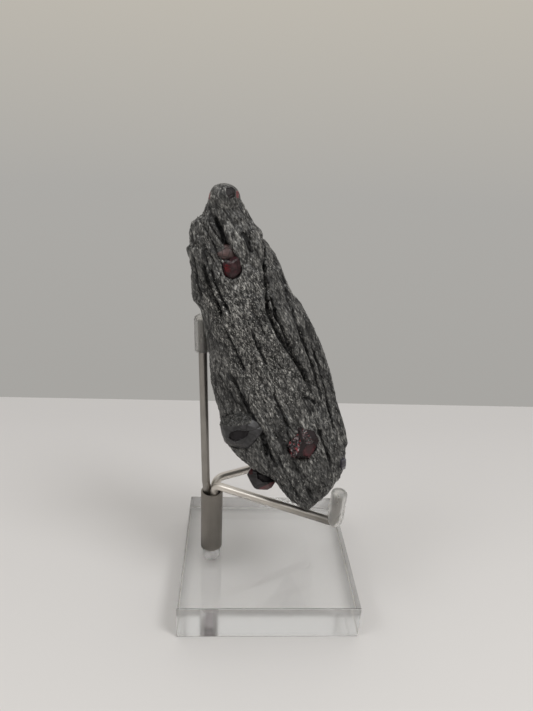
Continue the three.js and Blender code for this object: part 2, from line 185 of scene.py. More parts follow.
# Areas of a crystal with a finish of their own: finish, how far they are sunk, how chipped they
# are, y of the plane they are drawn on, outline as (x, z)
FACETS = {
    "garnet_crown": [
        ("hollow", 0.12, 0, -7.5, [(-14.1, 116.3), (-12.8, 116.7), (-11.9, 116.1), (-12, 114.6),
            (-13.2, 114), (-14, 115)]),
        # Painted red glints on the crown, as pink-red patches
        ("rose", 0, 0.3, -7.5, [(-11.7, 115.9), (-11.3, 115.9), (-11.1, 115.1), (-11.2, 114.3),
            (-11.6, 114.4), (-11.8, 115.2)]),
        ("rose", 0, 0, -6, [(-18.5, 115.7), (-17.6, 116.2), (-17.7, 114.8), (-17.7, 113.7),
            (-18.5, 113.5)]),
    ],
    "garnet_upper": [
        ("ruby", 0.1, 0.3, -11.8, [(-14.8, 99), (-13.6, 99.9), (-12.7, 99.5), (-12.6, 98.1),
            (-13, 96.7), (-14.1, 96.8)]),
        ("dark", 0.1, 0, -11.8, [(-14.4, 101.1), (-12.9, 101.7), (-12.7, 99.7), (-13.6, 100.1),
            (-14.7, 99.3)]),
    ],
    "garnet_left": [
        ("window", 0.3, 0, -16, [(-12.2, 56.7), (-11.8, 58.3), (-10.3, 59), (-7, 58.8),
            (-7.5, 57.2), (-10.4, 55.6)]),
        ("crusted", -0.05, 0.7, -15, [(-15, 66.2), (-14.9, 59.8), (-12.9, 59), (-10.4, 59.5),
            (-7.6, 59.4), (-6.5, 60.8), (-6.3, 63.4), (-7.1, 66.4)]),
    ],
    "garnet_lower_edge": [
        ("window", 0.6, 0, -13.5, [(-4.6, 46), (-1.3, 45.3), (0.7, 43.3), (-0.4, 42.3), (-2.7, 42),
            (-4.3, 43.2)]),
        ("pink", 0, 0, -13.5, [(-3, 41.8), (-0.2, 42.2), (1.5, 43.2), (1.6, 40.3), (-1.8, 38.2),
            (-4, 39.4)]),
        # Painted red glint, as a small ruby patch
        ("ruby", 0, 0, -13.5, [(-6.9, 46.3), (-5.7, 46.3), (-5.6, 44.6), (-6.4, 44.3)]),
    ],
    "garnet_right": [
        ("wine", 0.25, 0, -16, [(6.8, 53.2), (7.8, 55.1), (9.7, 55.5), (10.5, 53.8), (9.8, 52.3),
            (8.2, 51.5), (7.1, 52)]),
        ("pink", 0, 0, -16, [(7.1, 51.8), (8.2, 51.4), (9.8, 52.2), (10.6, 53.7), (11.3, 53.1),
            (10.5, 50.2), (8.8, 48.6), (7.2, 49)]),
        ("splintered", 0.05, 0.7, -16, [(2, 57.3), (3.8, 58.6), (5.4, 58.2), (6.3, 55.8), (5.8, 53),
            (4.6, 50.4), (2.4, 52)]),
        ("broken", 0.1, 0.9, -16, [(6.2, 58.4), (6.4, 60.5), (9.5, 60.3), (11, 57.2), (10.6, 54.3),
            (9.7, 55.7), (7.8, 55.3), (7, 56.2)]),
    ],
}

# Garnet finishes: colour (or a share of the clear red), how clear, roughness, share of the skin,
# colour of the skin, shine
GARNETS = {
    "red": (0.42, 0.10, 0.20, 0.45, (0.048, 0.024, 0.028), 0.2),
    "ruby": (0.40, 0.0, 0.22, 0.40, (0.034, 0.016, 0.018), 0.15),
    # The next finish paints the crown's red glints as pink-red patches
    "rose": ((0.24, 0.030, 0.042), 0.0, 0.22, 0.70, (0.070, 0.058, 0.057), 0.4),
    "hollow": ((0.010, 0.008, 0.009), 0.0, 0.34, 0.50, (0.024, 0.020, 0.021), 0.1),
    "dark": ((0.012, 0.005, 0.006), 0.05, 0.20, 0.40, (0.020, 0.014, 0.016), 0.12),
    "filmed": ((0.060, 0.022, 0.027), 0.0, 0.34, 0.60, (0.052, 0.042, 0.043), 0.12),
    # The pale finish is a painted glint, pale violet-white where a glint shows on a small garnet
    "pale": ((0.14, 0.13, 0.17), 0.35, 0.14, 0.0, None, 0.5),
    "pink": ((0.15, 0.042, 0.048), 0.0, 0.30, 0.55, (0.098, 0.070, 0.071), 0.25),
    "wine": ((0.085, 0.020, 0.026), 0.0, 0.24, 0.50, (0.046, 0.026, 0.029), 0.15),
    "window": ((0.007, 0.005, 0.006), 0.0, 0.22, 0.30, (0.013, 0.011, 0.013), 0.12),
    "satin": ((0.026, 0.024, 0.026), 0.0, 0.32, 0.90, (0.034, 0.032, 0.034), 0.2),
    "coated": ((0.036, 0.035, 0.038), 0.0, 0.34, 0.95, (0.056, 0.056, 0.060), 0.25),
    "skinned": ((0.11, 0.064, 0.062), 0.0, 0.38, 0.75, (0.080, 0.074, 0.070), 0.25),
}
GARNET_IOR = 1.78
ACRYLIC_IOR = 1.49
VINYL_IOR = 1.46


# Numbers

def scatter(ix, iy, iz, seed):
    """Fixed random value in -1..1 for each whole-number cell."""
    h = (ix * 374761393 + iy * 668265263 + iz * 1440662683 + seed * 974634777) & 0xFFFFFFFF
    h = ((h ^ (h >> 13)) * 1274126177) & 0xFFFFFFFF
    h = ((h ^ (h >> 16)) * 2246822519) & 0xFFFFFFFF
    return ((h ^ (h >> 15)) & 0xFFFFFF) / float(0x7FFFFF) - 1.0


def mottle(p, seed):
    """Smooth noise in -1..1 at each row of p, one unit to a cell."""
    base = np.floor(p).astype(np.int64)
    f = p - base
    f = f * f * (3.0 - 2.0 * f)
    total = np.zeros(len(p))
    for dx in (0, 1):
        wx = f[:, 0] if dx else 1.0 - f[:, 0]
        for dy in (0, 1):
            wy = f[:, 1] if dy else 1.0 - f[:, 1]
            for dz in (0, 1):
                wz = f[:, 2] if dz else 1.0 - f[:, 2]
                total += wx * wy * wz * scatter(base[:, 0] + dx, base[:, 1] + dy, base[:, 2] + dz, seed)
    return total


def grain_mottle(p, along, across, deep, seed, shift=0.0):
    """Smooth noise in cells of the given lengths that run with the rock's grain."""
    cells = [p @ ALONG / along, (p @ ACROSS + shift) / across, p[:, 1] / deep]
    return mottle(np.stack(cells, axis=1), seed)


def unit(values):
    """Values held within 0..1."""
    return np.clip(values, 0.0, 1.0)


def normed(vector):
    return vector / np.linalg.norm(vector)


def to_path(p, route):
    """Distance in the XZ plane from each point to a broken line, and how far along it lies (0..1)."""
    q = p[:, [0, 2]]
    route = np.array(route, float)
    lengths = np.linalg.norm(np.diff(route, axis=0), axis=1)
    reach = np.concatenate([[0.0], np.cumsum(lengths)])
    best = np.full(len(q), 1e9)
    where = np.zeros(len(q))
    for i, length in enumerate(lengths):
        d = (route[i + 1] - route[i]) / length
        t = np.clip((q - route[i]) @ d, 0.0, length)
        gap = np.linalg.norm(q - route[i] - t[:, None] * d, axis=1)
        near = gap < best
        best[near] = gap[near]
        where[near] = (reach[i] + t[near]) / reach[-1]
    return best, where


# Meshes

def in_scene(name, data):
    """A new object for a mesh, light or camera, at the origin."""
    made = bpy.data.objects.new(name, data)
    bpy.context.scene.collection.objects.link(made)
    return made


def smooth(mesh, degrees):
    mesh.shade_smooth()
    mesh.set_sharp_from_angle(angle=math.radians(degrees))


def piece_from(name, points, faces, sharp=None):
    """A mesh object from points in millimetres, smooth but for edges sharper than some degrees."""
    mesh = bpy.data.meshes.new(name)
    points = [tuple(v) for v in np.asarray(points, float) * MM]
    mesh.from_pydata(points, [], [tuple(map(int, f)) for f in faces])
    mesh.validate()
    mesh.update()
    if sharp is not None:
        smooth(mesh, sharp)
    return in_scene(name, mesh)


def frames_along(points):
    """Unit tangents and two steady cross directions at each point of a path."""
    points = np.asarray(points, float)
    tangents = np.gradient(points, axis=0)
    tangents /= np.linalg.norm(tangents, axis=1)[:, None]
    side = normed(np.cross(tangents[0], [0.0, 1.0, 0.0] if abs(tangents[0][1]) < 0.9 else [1.0, 0.0, 0.0]))
    sides = []
    for t in tangents:
        side = normed(side - t * (side @ t))
        sides.append(side)
    sides = np.array(sides)
    return tangents, sides, np.cross(tangents, sides)


def turn_angles(count):
    return np.arange(count) * 2.0 * math.pi / count


def band(low, high, count):
    """Faces between two rings of points, given the number of the first point of each."""
    nexts = [(j, (j + 1) % count) for j in range(count)]
    return [(low + j, low + n, high + n, high + j) for j, n in nexts]


def swept(path, stations, count):
    """Skin of rings: each station is (index along the path, push past it, radius)."""
    tangents, sides, ups = frames_along(path)
    angles = turn_angles(count)
    points = []
    faces = []
    for k, (i, push, radius) in enumerate(stations):
        centre = np.asarray(path[i]) + tangents[i] * push
        across = np.cos(angles)[:, None] * sides[i] + np.sin(angles)[:, None] * ups[i]
        points.extend(centre + radius * across)
        if k:
            faces += band((k - 1) * count, k * count, count)
    return points, faces


def close_end(points, faces, ring, centre, flip):
    """Fans a ring of point numbers to a new centre point."""
    points.append(centre)
    hub = len(points) - 1
    count = len(ring)
    for j in range(count):
        a, b = ring[j], ring[(j + 1) % count]
        faces.append((b, a, hub) if flip else (a, b, hub))


def close_both(points, faces, count, first, last):
    """Closes a skin of rings at its first and its last ring."""
    start = len(points) - count
    close_end(points, faces, list(range(count)), first, True)
    close_end(points, faces, list(range(start, start + count)), last, False)


def wire_piece(name, path, radius, count=28):
    """Round bar along a path with softly rounded ends."""
    last = len(path) - 1
    soft = 0.35
    ends = ((0.0, 1.0), (0.1, 0.55), (0.4, 0.2))
    stations = [(0, push * soft, radius - fall * soft) for push, fall in ends]
    stations += [(i, 0.0 if 0 < i < last else (soft if i == 0 else -soft), radius) for i in range(last + 1)]
    stations += [(last, -push * soft, radius - fall * soft) for push, fall in reversed(ends)]
    points, faces = swept(path, stations, count)
    close_both(points, faces, count, np.asarray(path[0], float), np.asarray(path[-1], float))
    return piece_from(name, points, faces, 40)


def curve_points(start, control, end, count):
    """Points on a three-point bend, without its first one."""
    start, control, end = (np.array(v, float) for v in (start, control, end))
    t = (np.arange(count) + 1.0)[:, None] / count
    return list((1 - t) ** 2 * start + 2 * (1 - t) * t * control + t ** 2 * end)


def straight_points(start, end, count):
    """Points on a straight line, without its first one."""
    start, end = np.array(start, float), np.array(end, float)
    return list(start + (end - start) * (np.arange(count) + 1.0)[:, None] / count)


def revolved(name, profile, count, x):
    """Solid turned about an upright axis from a (radius, height) profile that starts and ends on it."""
    points = []
    rings = []
    for r, z in profile:
        angles = turn_angles(count)[:count if r else 1]
        rings.append(list(range(len(points), len(points) + len(angles))))
        points.extend((r * math.cos(a) + x, r * math.sin(a), z) for a in angles)
    faces = []
    for low, high in zip(rings, rings[1:]):
        for j in range(count):
            n = (j + 1) % count
            ring = (low[j % len(low)], low[n % len(low)], high[n % len(high)], high[j % len(high)])
            faces.append(tuple(dict.fromkeys(ring)))
    return piece_from(name, points, faces)


def face_outwards(piece, sharp=None, merge=True):
    """Merges doubles and turns every face to point out."""
    work = bmesh.new()
    work.from_mesh(piece.data)
    if merge:
        bmesh.ops.remove_doubles(work, verts=work.verts, dist=1e-7)
    bmesh.ops.recalc_face_normals(work, faces=work.faces)
    work.to_mesh(piece.data)
    work.free()
    piece.data.update()
    if sharp is not None:
        smooth(piece.data, sharp)


def keep_modified(piece):
    """Replaces the piece's mesh by the result of its modifiers, and removes them."""
    depsgraph = bpy.context.evaluated_depsgraph_get()
    result = bpy.data.meshes.new_from_object(piece.evaluated_get(depsgraph), depsgraph=depsgraph)
    piece.modifiers.clear()
    piece.data = result


def hand_over(piece, finishes, slot, *nodes):
    """Gives a piece its finishes and puts it on the stand's body, in the place of the named solids."""
    for finish in finishes:
        piece.data.materials.append(FINISHES[finish])
    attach(piece, "root")
    if nodes:
        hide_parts(*nodes)


# The rock's form

def level(table, z, column=1):
    return np.interp(z, [row[0] for row in table], [row[column] for row in table])


def eased(table, z, column=1, reach=0.35):
    """Table value averaged over a short height, which takes the corners off."""
    steps = np.linspace(-reach, reach, 5)
    low, high = table[0][0], table[-1][0]
    return sum(level(table, np.clip(z + s, low, high), column) for s in steps) / len(steps)


def section(z, dense=64):
    """Closed level outline of the slab at one height, counter-clockwise seen from above."""
    left, right = float(eased(LEFT, z)), float(eased(RIGHT, z))
    edge, near, far = (float(eased(DEPTH, z, c, 0.8)) for c in (1, 2, 3))
    xn = left + 0.45 * (right - left)
    xf = left + 0.50 * (right - left)
    a = np.arange(dense) / dense * math.pi / 2
    parts = []
    for x, start, end, full in (
        (xn, (left - xn, 0.0), (0.0, near - edge), 1.8),
        (xn, (0.0, near - edge), (right - xn, 0.0), 1.5),
        (xf, (right - xf, 0.0), (0.0, far - edge), 2.2),
        (xf, (0.0, far - edge), (left - xf, 0.0), 1.85),
    ):
        u = np.cos(a) ** (2 / full)
        v = np.sin(a) ** (2 / full)
        parts.append(np.stack([x + start[0] * u + end[0] * v, edge + start[1] * u + end[1] * v], axis=1))
    return np.concatenate(parts)


def slab_grid(levels, around, near_share):
    """Points of the plain slab as levels x around, with more of them on the near side."""
    z0, z1 = LEFT[0][0], LEFT[-1][0]
    heights = z0 + (z1 - z0) * np.linspace(0.0, 1.0, levels)
    grid = np.zeros((levels, around, 3))
    near_count = int(around * near_share)
    for k, z in enumerate(heights):
        outline = section(z)
        half = len(outline) // 2
        sides = ((0, half, 0, near_count), (half, 2 * half, near_count, around - near_count))
        for start, stop, first, count in sides:
            run = np.concatenate([outline, outline[:1]])[start:stop + 1]
            reach = np.concatenate([[0.0], np.cumsum(np.linalg.norm(np.diff(run, axis=0), axis=1))])
            marks = reach[-1] * np.arange(count) / count
            grid[k, first:first + count, 0] = np.interp(marks, reach, run[:, 0])
            grid[k, first:first + count, 1] = np.interp(marks, reach, run[:, 1])
        grid[k, :, 2] = z
    return grid


def grid_normals(grid):
    round_way = np.roll(grid, -1, axis=1) - np.roll(grid, 1, axis=1)
    up_way = np.gradient(grid, axis=0)
    normals = np.cross(round_way, up_way)
    size = np.linalg.norm(normals, axis=2)[..., None]
    return normals / np.maximum(size, 1e-9)


def crystal_axis(centre):
    """Outward direction of the rock's skin at a crystal."""
    x, y, z = centre
    mid = 0.5 * (level(LEFT, z) + level(RIGHT, z))
    edge, near, far = (level(DEPTH, z, c) for c in (1, 2, 3))
    half_x = 0.5 * (level(RIGHT, z) - level(LEFT, z))
    half_y = (edge - near) if y < edge else (far - edge)
    return normed(np.array([(x - mid) / half_x ** 2, (y - edge) / half_y ** 2, 0.0]))


def side_of(p, route, width):
    """How far each point lies to the right of a downhill route: 0 on its left, 1 on its right."""
    route = np.array(sorted(route, key=lambda v: v[1]), float)
    line = np.interp(p[:, 2], route[:, 1], route[:, 0])
    inside = unit((p[:, 2] - route[0, 1]) / 5.0) * unit((route[-1, 1] - p[:, 2]) / 2.0)
    share = unit((p[:, 0] - line) / width + 0.5)
    return share * share * (3.0 - 2.0 * share), inside


def spark_zone(p):
    """1 on the glittering middle of the near face, 0 on the smoother rock round it; the schist's colour gets
    painted glitter there.
    """
    start, end = np.array([-15.0, 95.0]), np.array([7.0, 52.0])
    length = np.linalg.norm(end - start)
    way = (end - start) / length
    rel = p[:, [0, 2]] - start
    s = rel @ way
    t = rel @ np.array([way[1], -way[0]])
    wander = 1.6 * mottle(p / 5.0, 12)
    side = unit((9.0 + wander - np.abs(t + 1.0)) / 3.0)
    ends = unit((s + 1.0 + wander) / 3.0) * unit((length - 6.0 + wander - s) / 20.0)
    return side * ends


def rock_relief(p, n):
    """Height of the rock's surface above the plain slab, and its painted shade (0..1): darker in clefts,
    seams and on steps and on the low left flank, lighter on raised grain.
    """
    near_side = unit(-n[:, 1] * 2.0 + 0.3)
    calm = spark_zone(p)
    lumps = 0.40 * mottle(p / 9.0, 1) + 0.22 * mottle(p / 4.2, 2)
    bend = 1.3 * grain_mottle(p, 16.0, 5.0, 6.0, 3)
    plates = 2.4 * grain_mottle(p, 26.0, 5.2, 9.0, 4, bend)
    floor = np.floor(plates)
    rise = unit((plates - floor - 0.86) / 0.14)
    ledges = 0.34 * (floor + rise) + 0.12 * (plates - floor)
    beds = grain_mottle(p, 22.0, 1.9, 7.0, 11, bend)
    thin = grain_mottle(p, 11.0, 0.80, 2.2, 5, bend)
    seam = unit(np.abs(grain_mottle(p, 17.0, 1.9, 4.5, 6, bend)) * -9.0 + 1.0)
    seam *= unit(mottle(p / 5.0, 10) * 2.0 + 0.5)
    threads = grain_mottle(p, 2.6, 0.58, 0.8, 7, 0.4 * bend)
    grains = grain_mottle(p, 0.85, 0.50, 0.5, 8)
    ridged = 1.0 - 0.45 * calm
    height = lumps + ledges + ridged * (0.16 * beds + 0.17 * thin)
    height = height - 0.50 * seam + 0.13 * threads + 0.16 * grains
    on_step = (rise > 0.0) * (rise < 1.0)
    # Painted shade: less where the grain stands up, more in seams and on steps
    painted_shade = unit(0.34 - 0.12 * beds - 0.16 * ridged * thin - (0.10 + 0.06 * calm) * threads
                  - (0.16 + 0.12 * calm) * grains + 0.65 * seam + 0.22 * on_step)
    # Painted shade on the left flank below 91 mm, which faces away from the key lamp
    flank = unit((-n[:, 0] - 0.30) / 0.45) * unit((91.0 - p[:, 2]) / 6.0)
    painted_shade = unit(painted_shade + 0.17 * flank)
    outer = unit((np.abs(n[:, 0]) - 0.55) / 0.35)
    height = height * (1.0 - 0.45 * outer)
    far_side = unit(n[:, 1] * 2.0 + 0.3)
    sided = [(near_side, *cleft) for cleft in CLEFTS] + [(far_side, *cleft) for cleft in BACK_CLEFTS]
    for face_share, depth, half, route in sided:
        gap, where = to_path(p, route)
        wander = 1.0 + 0.45 * grain_mottle(p, 3.0, 1.2, 3.0, 9)
        taper = unit(np.minimum(where, 1.0 - where) * 7.0 + 0.25)
        cut = np.exp(-np.abs(gap / (half * wander)) ** 2.6) * taper * face_share
        height = height - depth * cut
        # Clefts get painted shade
        painted_shade = np.maximum(painted_shade, unit(cut * 1.4))
    for drop, width, route in TERRACES:
        share, inside = side_of(p, route, width)
        height = height - drop * share * inside * near_side
    return height, painted_shade


def seat_crystals(p, painted_shade):
    """Opens a cup in the rock round each crystal, fills it with full painted shade, and raises a low lip at
    its rim.
    """
    for name, centre, radius, *_, finish, seed in CRYSTALS:
        c = np.array(centre)
        rel = p - c
        if name == "garnet_crown":
            far = np.linalg.norm(rel, axis=1)
            limit = 3.45 + 1.75 * unit((114.4 - p[:, 2]) / 1.6)
            inside = (far > limit) & (p[:, 2] > 111.4)
            p = np.where(inside[:, None], c + rel * (limit / np.maximum(far, 1e-6))[:, None], p)
            # Full painted shade on the rock skin above 114.2 mm round the crown
            painted_shade = np.where(p[:, 2] > 114.2, 1.0, painted_shade)
            continue
        axis = crystal_axis(centre)
        size = radius * (0.79 - 0.12 * WORN.get(name, 0.0) if finish != "skinned" else 0.55)
        h = rel @ axis
        rho = np.linalg.norm(rel - h[:, None] * axis, axis=1)
        cup = size * (1.0 + 0.10 * mottle(p / 1.6, seed) + 0.06 * mottle(p / 0.6, seed + 1))
        cup = cup * (1.0 - 0.14 * unit(rel[:, 2] / radius))
        inside = (rho < cup) & (h > -radius * 0.6)
        floor = 0.35 * radius - np.sqrt(np.maximum(cup ** 2 - rho ** 2, 0.0)) * 0.8
        drop = np.where(inside & (h > floor), floor - h, 0.0)
        p = p + drop[:, None] * axis
        # Full painted shade inside each cup
        painted_shade = np.where(inside, 1.0, painted_shade)
        ring = np.exp(-((rho - size * 1.16) / (0.14 * radius)) ** 2) * (np.abs(h) < radius * 1.1) * ~inside
        p = p + (0.24 * ring)[:, None] * axis
    return p, painted_shade


def keep_clear_of_stand(p):
    """Flattens the rock where it leans on the back sleeve and rests on the two arms, and hollows its foot."""
    x, y, z = p.T
    lean = -17.62 - (z - 79.0) * math.tan(SLEEVE_LEAN)
    touch = (np.abs(y) < 2.6) & (z > 71.5) & (z < 86.5)
    x[touch] = np.maximum(x, lean)[touch]
    hollow = unit(1.0 - (y / 11.0) ** 2) * unit((39.0 - z) / 4.5)
    z[:] = np.clip(z + hollow * (2.1 + 0.6 * mottle(p / 4.0, 21)), FOOT_Z - 0.05, CROWN_Z + 0.2)
    return p


# Materials

FINISHES = {}
GRAIN_TURN = (0.0, GRAIN_TILT, 0.0)


def rgba(colour):
    """Four numbers from a colour or a grey."""
    return (*((colour,) * 3 if isinstance(colour, float) else colour), 1.0)


def dimmed(colour, share):
    return tuple(c * share for c in colour)


class Nodes:
    """A node tree, with short calls for the nodes that are used often."""

    def __init__(self, tree):
        self.tree = tree
        tree.nodes.clear()

    def feed(self, target, inputs):
        """Links each input that is given a socket, and sets the others."""
        for key, value in inputs.items():
            socket = target.inputs[key]
            if isinstance(value, bpy.types.NodeSocket):
                self.tree.links.new(value, socket)
            else:
                socket.default_value = rgba(value) if socket.type == "RGBA" else value

    def node(self, kind, inputs=None, **settings):
        made = self.tree.nodes.new(kind)
        for key, value in settings.items():
            setattr(made, key, value)
        self.feed(made, inputs or {})
        return made

    def sums(self, operation, *values, clamp=False):
        made = self.node("ShaderNodeMath", dict(enumerate(values)), operation=operation, use_clamp=clamp)
        return made.outputs[0]

    def line(self, value, slope, start, clamp=False):
        """A value times slope, plus start."""
        return self.sums("MULTIPLY_ADD", value, slope, start, clamp=clamp)

    def vectors(self, operation, *values):
        return self.node("ShaderNodeVectorMath", dict(enumerate(values)), operation=operation).outputs[0]

    def scaled(self, vector, share):
        return self.node("ShaderNodeVectorMath", {0: vector, "Scale": share}, operation="SCALE").outputs[0]

    def mix(self, a, b, factor=1.0, blend="MULTIPLY"):
        made = self.node("ShaderNodeMix", {0: factor, 6: a, 7: b}, data_type="RGBA", blend_type=blend)
        return made.outputs[2]

    def ramp(self, factor, *stops):
        """Colour between stops, each a position and a colour or a grey."""
        made = self.node("ShaderNodeValToRGB", {"Fac": factor})
        elements = made.color_ramp.elements
        while len(elements) < len(stops):
            elements.new(0.5)
        for element, (position, colour) in zip(elements, stops):
            element.position = position
            element.color = rgba(colour)
        return made.outputs["Color"]

    def place(self, scale=(1.0, 1.0, 1.0), turn=(0.0, 0.0, 0.0), shift=(0.0, 0.0, 0.0)):
        """Object coordinates through a Mapping node."""
        source = self.node("ShaderNodeTexCoord").outputs["Object"]
        inputs = {"Vector": source, "Scale": scale, "Rotation": turn, "Location": shift}
        return self.node("ShaderNodeMapping", inputs).outputs["Vector"]

    def noise(self, vector, scale, detail=2.0, rough=0.5, out="Fac"):
        inputs = {"Vector": vector, "Scale": scale, "Detail": detail, "Roughness": rough}
        return self.node("ShaderNodeTexNoise", inputs).outputs[out]

    def warped(self, vector, scale, push):
        """Coordinates pushed about by noise."""
        waves = self.noise(vector, scale, out="Color")
        return self.vectors("ADD", vector, self.scaled(waves, push))

    def attribute(self, name):
        return self.node("ShaderNodeAttribute", attribute_name=name).outputs["Fac"]

    def parts(self, colour):
        return self.node("ShaderNodeSeparateColor", {"Color": colour}).outputs

    def axes(self, vector):
        return self.node("ShaderNodeSeparateXYZ", {0: vector}).outputs


class Finish(Nodes):
    """A Principled material of its own, kept under its short name in FINISHES."""

    def __init__(self, name):
        material = bpy.data.materials.new(name + "_finish")
        FINISHES[name] = material
        material.use_nodes = True
        super().__init__(material.node_tree)
        self.shader = self.node("ShaderNodeBsdfPrincipled")
        self.node("ShaderNodeOutputMaterial", {"Surface": self.shader.outputs["BSDF"]})

    def surface(self, **values):
        """Sets or links inputs of the shader; Base_Color stands for Base Color."""
        self.feed(self.shader, {key.replace("_", " "): value for key, value in values.items()})

    def bump(self, height, distance, strength, **normal):
        inputs = {"Strength": strength, "Distance": distance, "Height": height, **normal}
        self.surface(Normal=self.node("ShaderNodeBump", inputs).outputs["Normal"])


def grain_cells(m, width, length, seed):
    """Random colour in each elongated grain, of the given size in millimetres."""
    place = m.place(turn=GRAIN_TURN, shift=(seed, seed * 0.37, seed * 0.71))
    squeezed = m.vectors("MULTIPLY", m.warped(place, 700.0, 0.00035), (1.0, 1.0, width / length))
    cells = m.node("ShaderNodeTexVoronoi", {"Vector": squeezed, "Scale": 1000.0 / width})
    return cells.outputs["Color"]


def schist_material(look, name="schist", lift=1.0, tilt=1.0):
    """Dark mica schist: dark and bright grains, with stronger grain contrast as painted glitter where it
    glitters, and painted shade down to black in the clefts.
    """
    m = Finish(name)
    coarse_colour = grain_cells(m, 0.32, 1.40, 0.0)
    coarse = m.parts(coarse_colour)
    fine = m.parts(grain_cells(m, 0.26, 0.68, 3.0))
    streaks = m.noise(m.place((1.0, 1.0, 0.13), GRAIN_TURN), 1900.0, 3.0, 0.6)
    patches = m.noise(m.place((1.6, 1.6, 0.6), GRAIN_TURN), 130.0, 3.0, 0.55)
    lines = m.noise(m.place((1.0, 1.0, 0.16), GRAIN_TURN), 1250.0, 2.0, 0.6)
    # Painted glitter: in the glittering zone the fine grains get stronger light and dark contrast, standing
    # for the mica's glints
    lively = m.attribute("lively")
    long_share = m.line(lively, -0.02, 0.26)
    fine_share = m.line(lively, 0.34, 0.18)
    tone = m.line(m.sums("SUBTRACT", coarse["Red"], 0.5), long_share, -0.01)
    tone = m.line(m.sums("SUBTRACT", fine["Red"], 0.5), fine_share, tone)
    tone = m.line(streaks, 0.80, tone)
    tone = m.line(patches, 0.22, tone)
    body = m.ramp(tone, (0.30, look.rock_dark), (0.50, look.rock_mid), (0.68, look.rock_light),
                  (0.82, look.rock_flake))
    # Painted shade from the rock's shade attribute: 1.18 times lighter on raised grain, down to 0.10 in
    # clefts and sockets
    shade = m.ramp(m.attribute("painted_shade"), (0.15, (1.18, 1.18, 1.17)), (0.45, 0.88),
                   (0.75, (0.38, 0.38, 0.39)), (1.0, (0.10, 0.10, 0.11)))
    threads = m.ramp(lines, (0.34, (0.30, 0.30, 0.31)), (0.46, 1.0), (0.62, 1.08))
    m.surface(Base_Color=m.mix(m.mix(m.mix(body, shade), threads), lift),
              Roughness=m.ramp(fine["Green"], (0.0, 0.60), (0.60, 0.46), (1.0, 0.26)),
              Metallic=m.ramp(coarse["Blue"], (0.60, 0.0), (1.0, 0.45)), Specular_IOR_Level=0.45)
    facing = m.node("ShaderNodeNewGeometry").outputs["Normal"]
    spread = m.scaled(m.vectors("SUBTRACT", coarse_colour, (0.5, 0.5, 0.5)), look.glitter * tilt)
    tilted = m.vectors("NORMALIZE", m.vectors("ADD", facing, spread))
    m.bump(fine["Red"], 0.00012, 0.8, Normal=tilted)


def mica_material(look):
    """Cleavage grains of mica and graphite, each with its own tone."""
    m = Finish("mica")
    spots = m.noise(m.place(), 2600.0, 1.0)
    tone = m.sums("SUBTRACT", m.line(spots, 0.30, m.attribute("tone")), 0.15)
    m.surface(Base_Color=m.ramp(tone, (0.12, look.mica_dark), (0.48, look.mica_mid), (0.80, look.mica_light),
                                (1.0, look.mica_bright)),
              Metallic=0.35, Roughness=m.ramp(spots, (0.3, 0.26), (0.7, 0.48)))


def garnet_material(name, colour, clear, roughness, skin, skin_colour, shine):
    """Glassy garnet, with as much grey graphite skin as skin says."""
    m = Finish("garnet_" + name)
    place = m.place()
    cracked = {"Vector": m.warped(place, 260.0, 0.0016), "Scale": 420.0}
    cracks = m.node("ShaderNodeTexVoronoi", cracked, feature="DISTANCE_TO_EDGE").outputs["Distance"]
    cleft = m.ramp(cracks, (0.0, 0.0), (0.10, 1.0))
    cloud = m.noise(place, 520.0, 4.0, 0.6)
    bright = tuple(min(1.0, c * 1.7 + 0.01) for c in colour)
    lively = m.ramp(cloud, (0.35, dimmed(colour, 0.35)), (0.60, colour), (0.78, bright))
    glass = m.mix(dimmed(colour, 0.3), lively, cleft, "MIX")
    m.surface(Base_Color=glass, Transmission_Weight=clear, Roughness=roughness, IOR=GARNET_IOR,
              Specular_IOR_Level=shine)
    if skin > 0.0:
        patch = m.noise(m.place(shift=(0.3, 0.1, 0.2)), 330.0, 5.0, 0.65)
        cover = m.ramp(patch, (max(0.0, 0.62 - skin * 0.5), 1.0), (max(0.05, 0.78 - skin * 0.4), 0.0))
        m.surface(Base_Color=m.mix(glass, skin_colour, cover, "MIX"),
                  Transmission_Weight=m.sums("MULTIPLY", m.sums("SUBTRACT", 1.0, cover, clamp=True), clear),
                  Roughness=m.line(cover, 0.24, roughness))
    fine = m.noise(place, 1900.0, 3.0)
    m.bump(m.line(fine, 0.35, cleft), 0.00006, 0.8)


def splinter_material(name, red, liveliness):
    """Broken garnet: small dark chips among bright red ones and whitish ones, painted red glints and painted
    white glints as bright as liveliness says.
    """
    m = Finish(name)
    chips = m.node("ShaderNodeTexVoronoi", {"Vector": m.place(), "Scale": 1900.0}).outputs
    # Painted red glint for the bright red chips; the whitish chips below are painted white glints
    glow = tuple(c * 1.2 * liveliness + 0.01 for c in red)
    painted_white_glint = tuple(c * liveliness + 0.03 for c in (0.40, 0.32, 0.34))
    colour = m.ramp(m.parts(chips["Color"])["Red"], (0.0, (0.008, 0.006, 0.007)),
                    (0.60, (0.022, 0.012, 0.015)), (0.74, glow), (0.88, (0.040, 0.026, 0.029)), (0.97, painted_white_glint))
    m.surface(Base_Color=colour, Roughness=0.16, IOR=GARNET_IOR, Specular_IOR_Level=0.4)
    m.bump(chips["Distance"], 0.00030, 0.9)


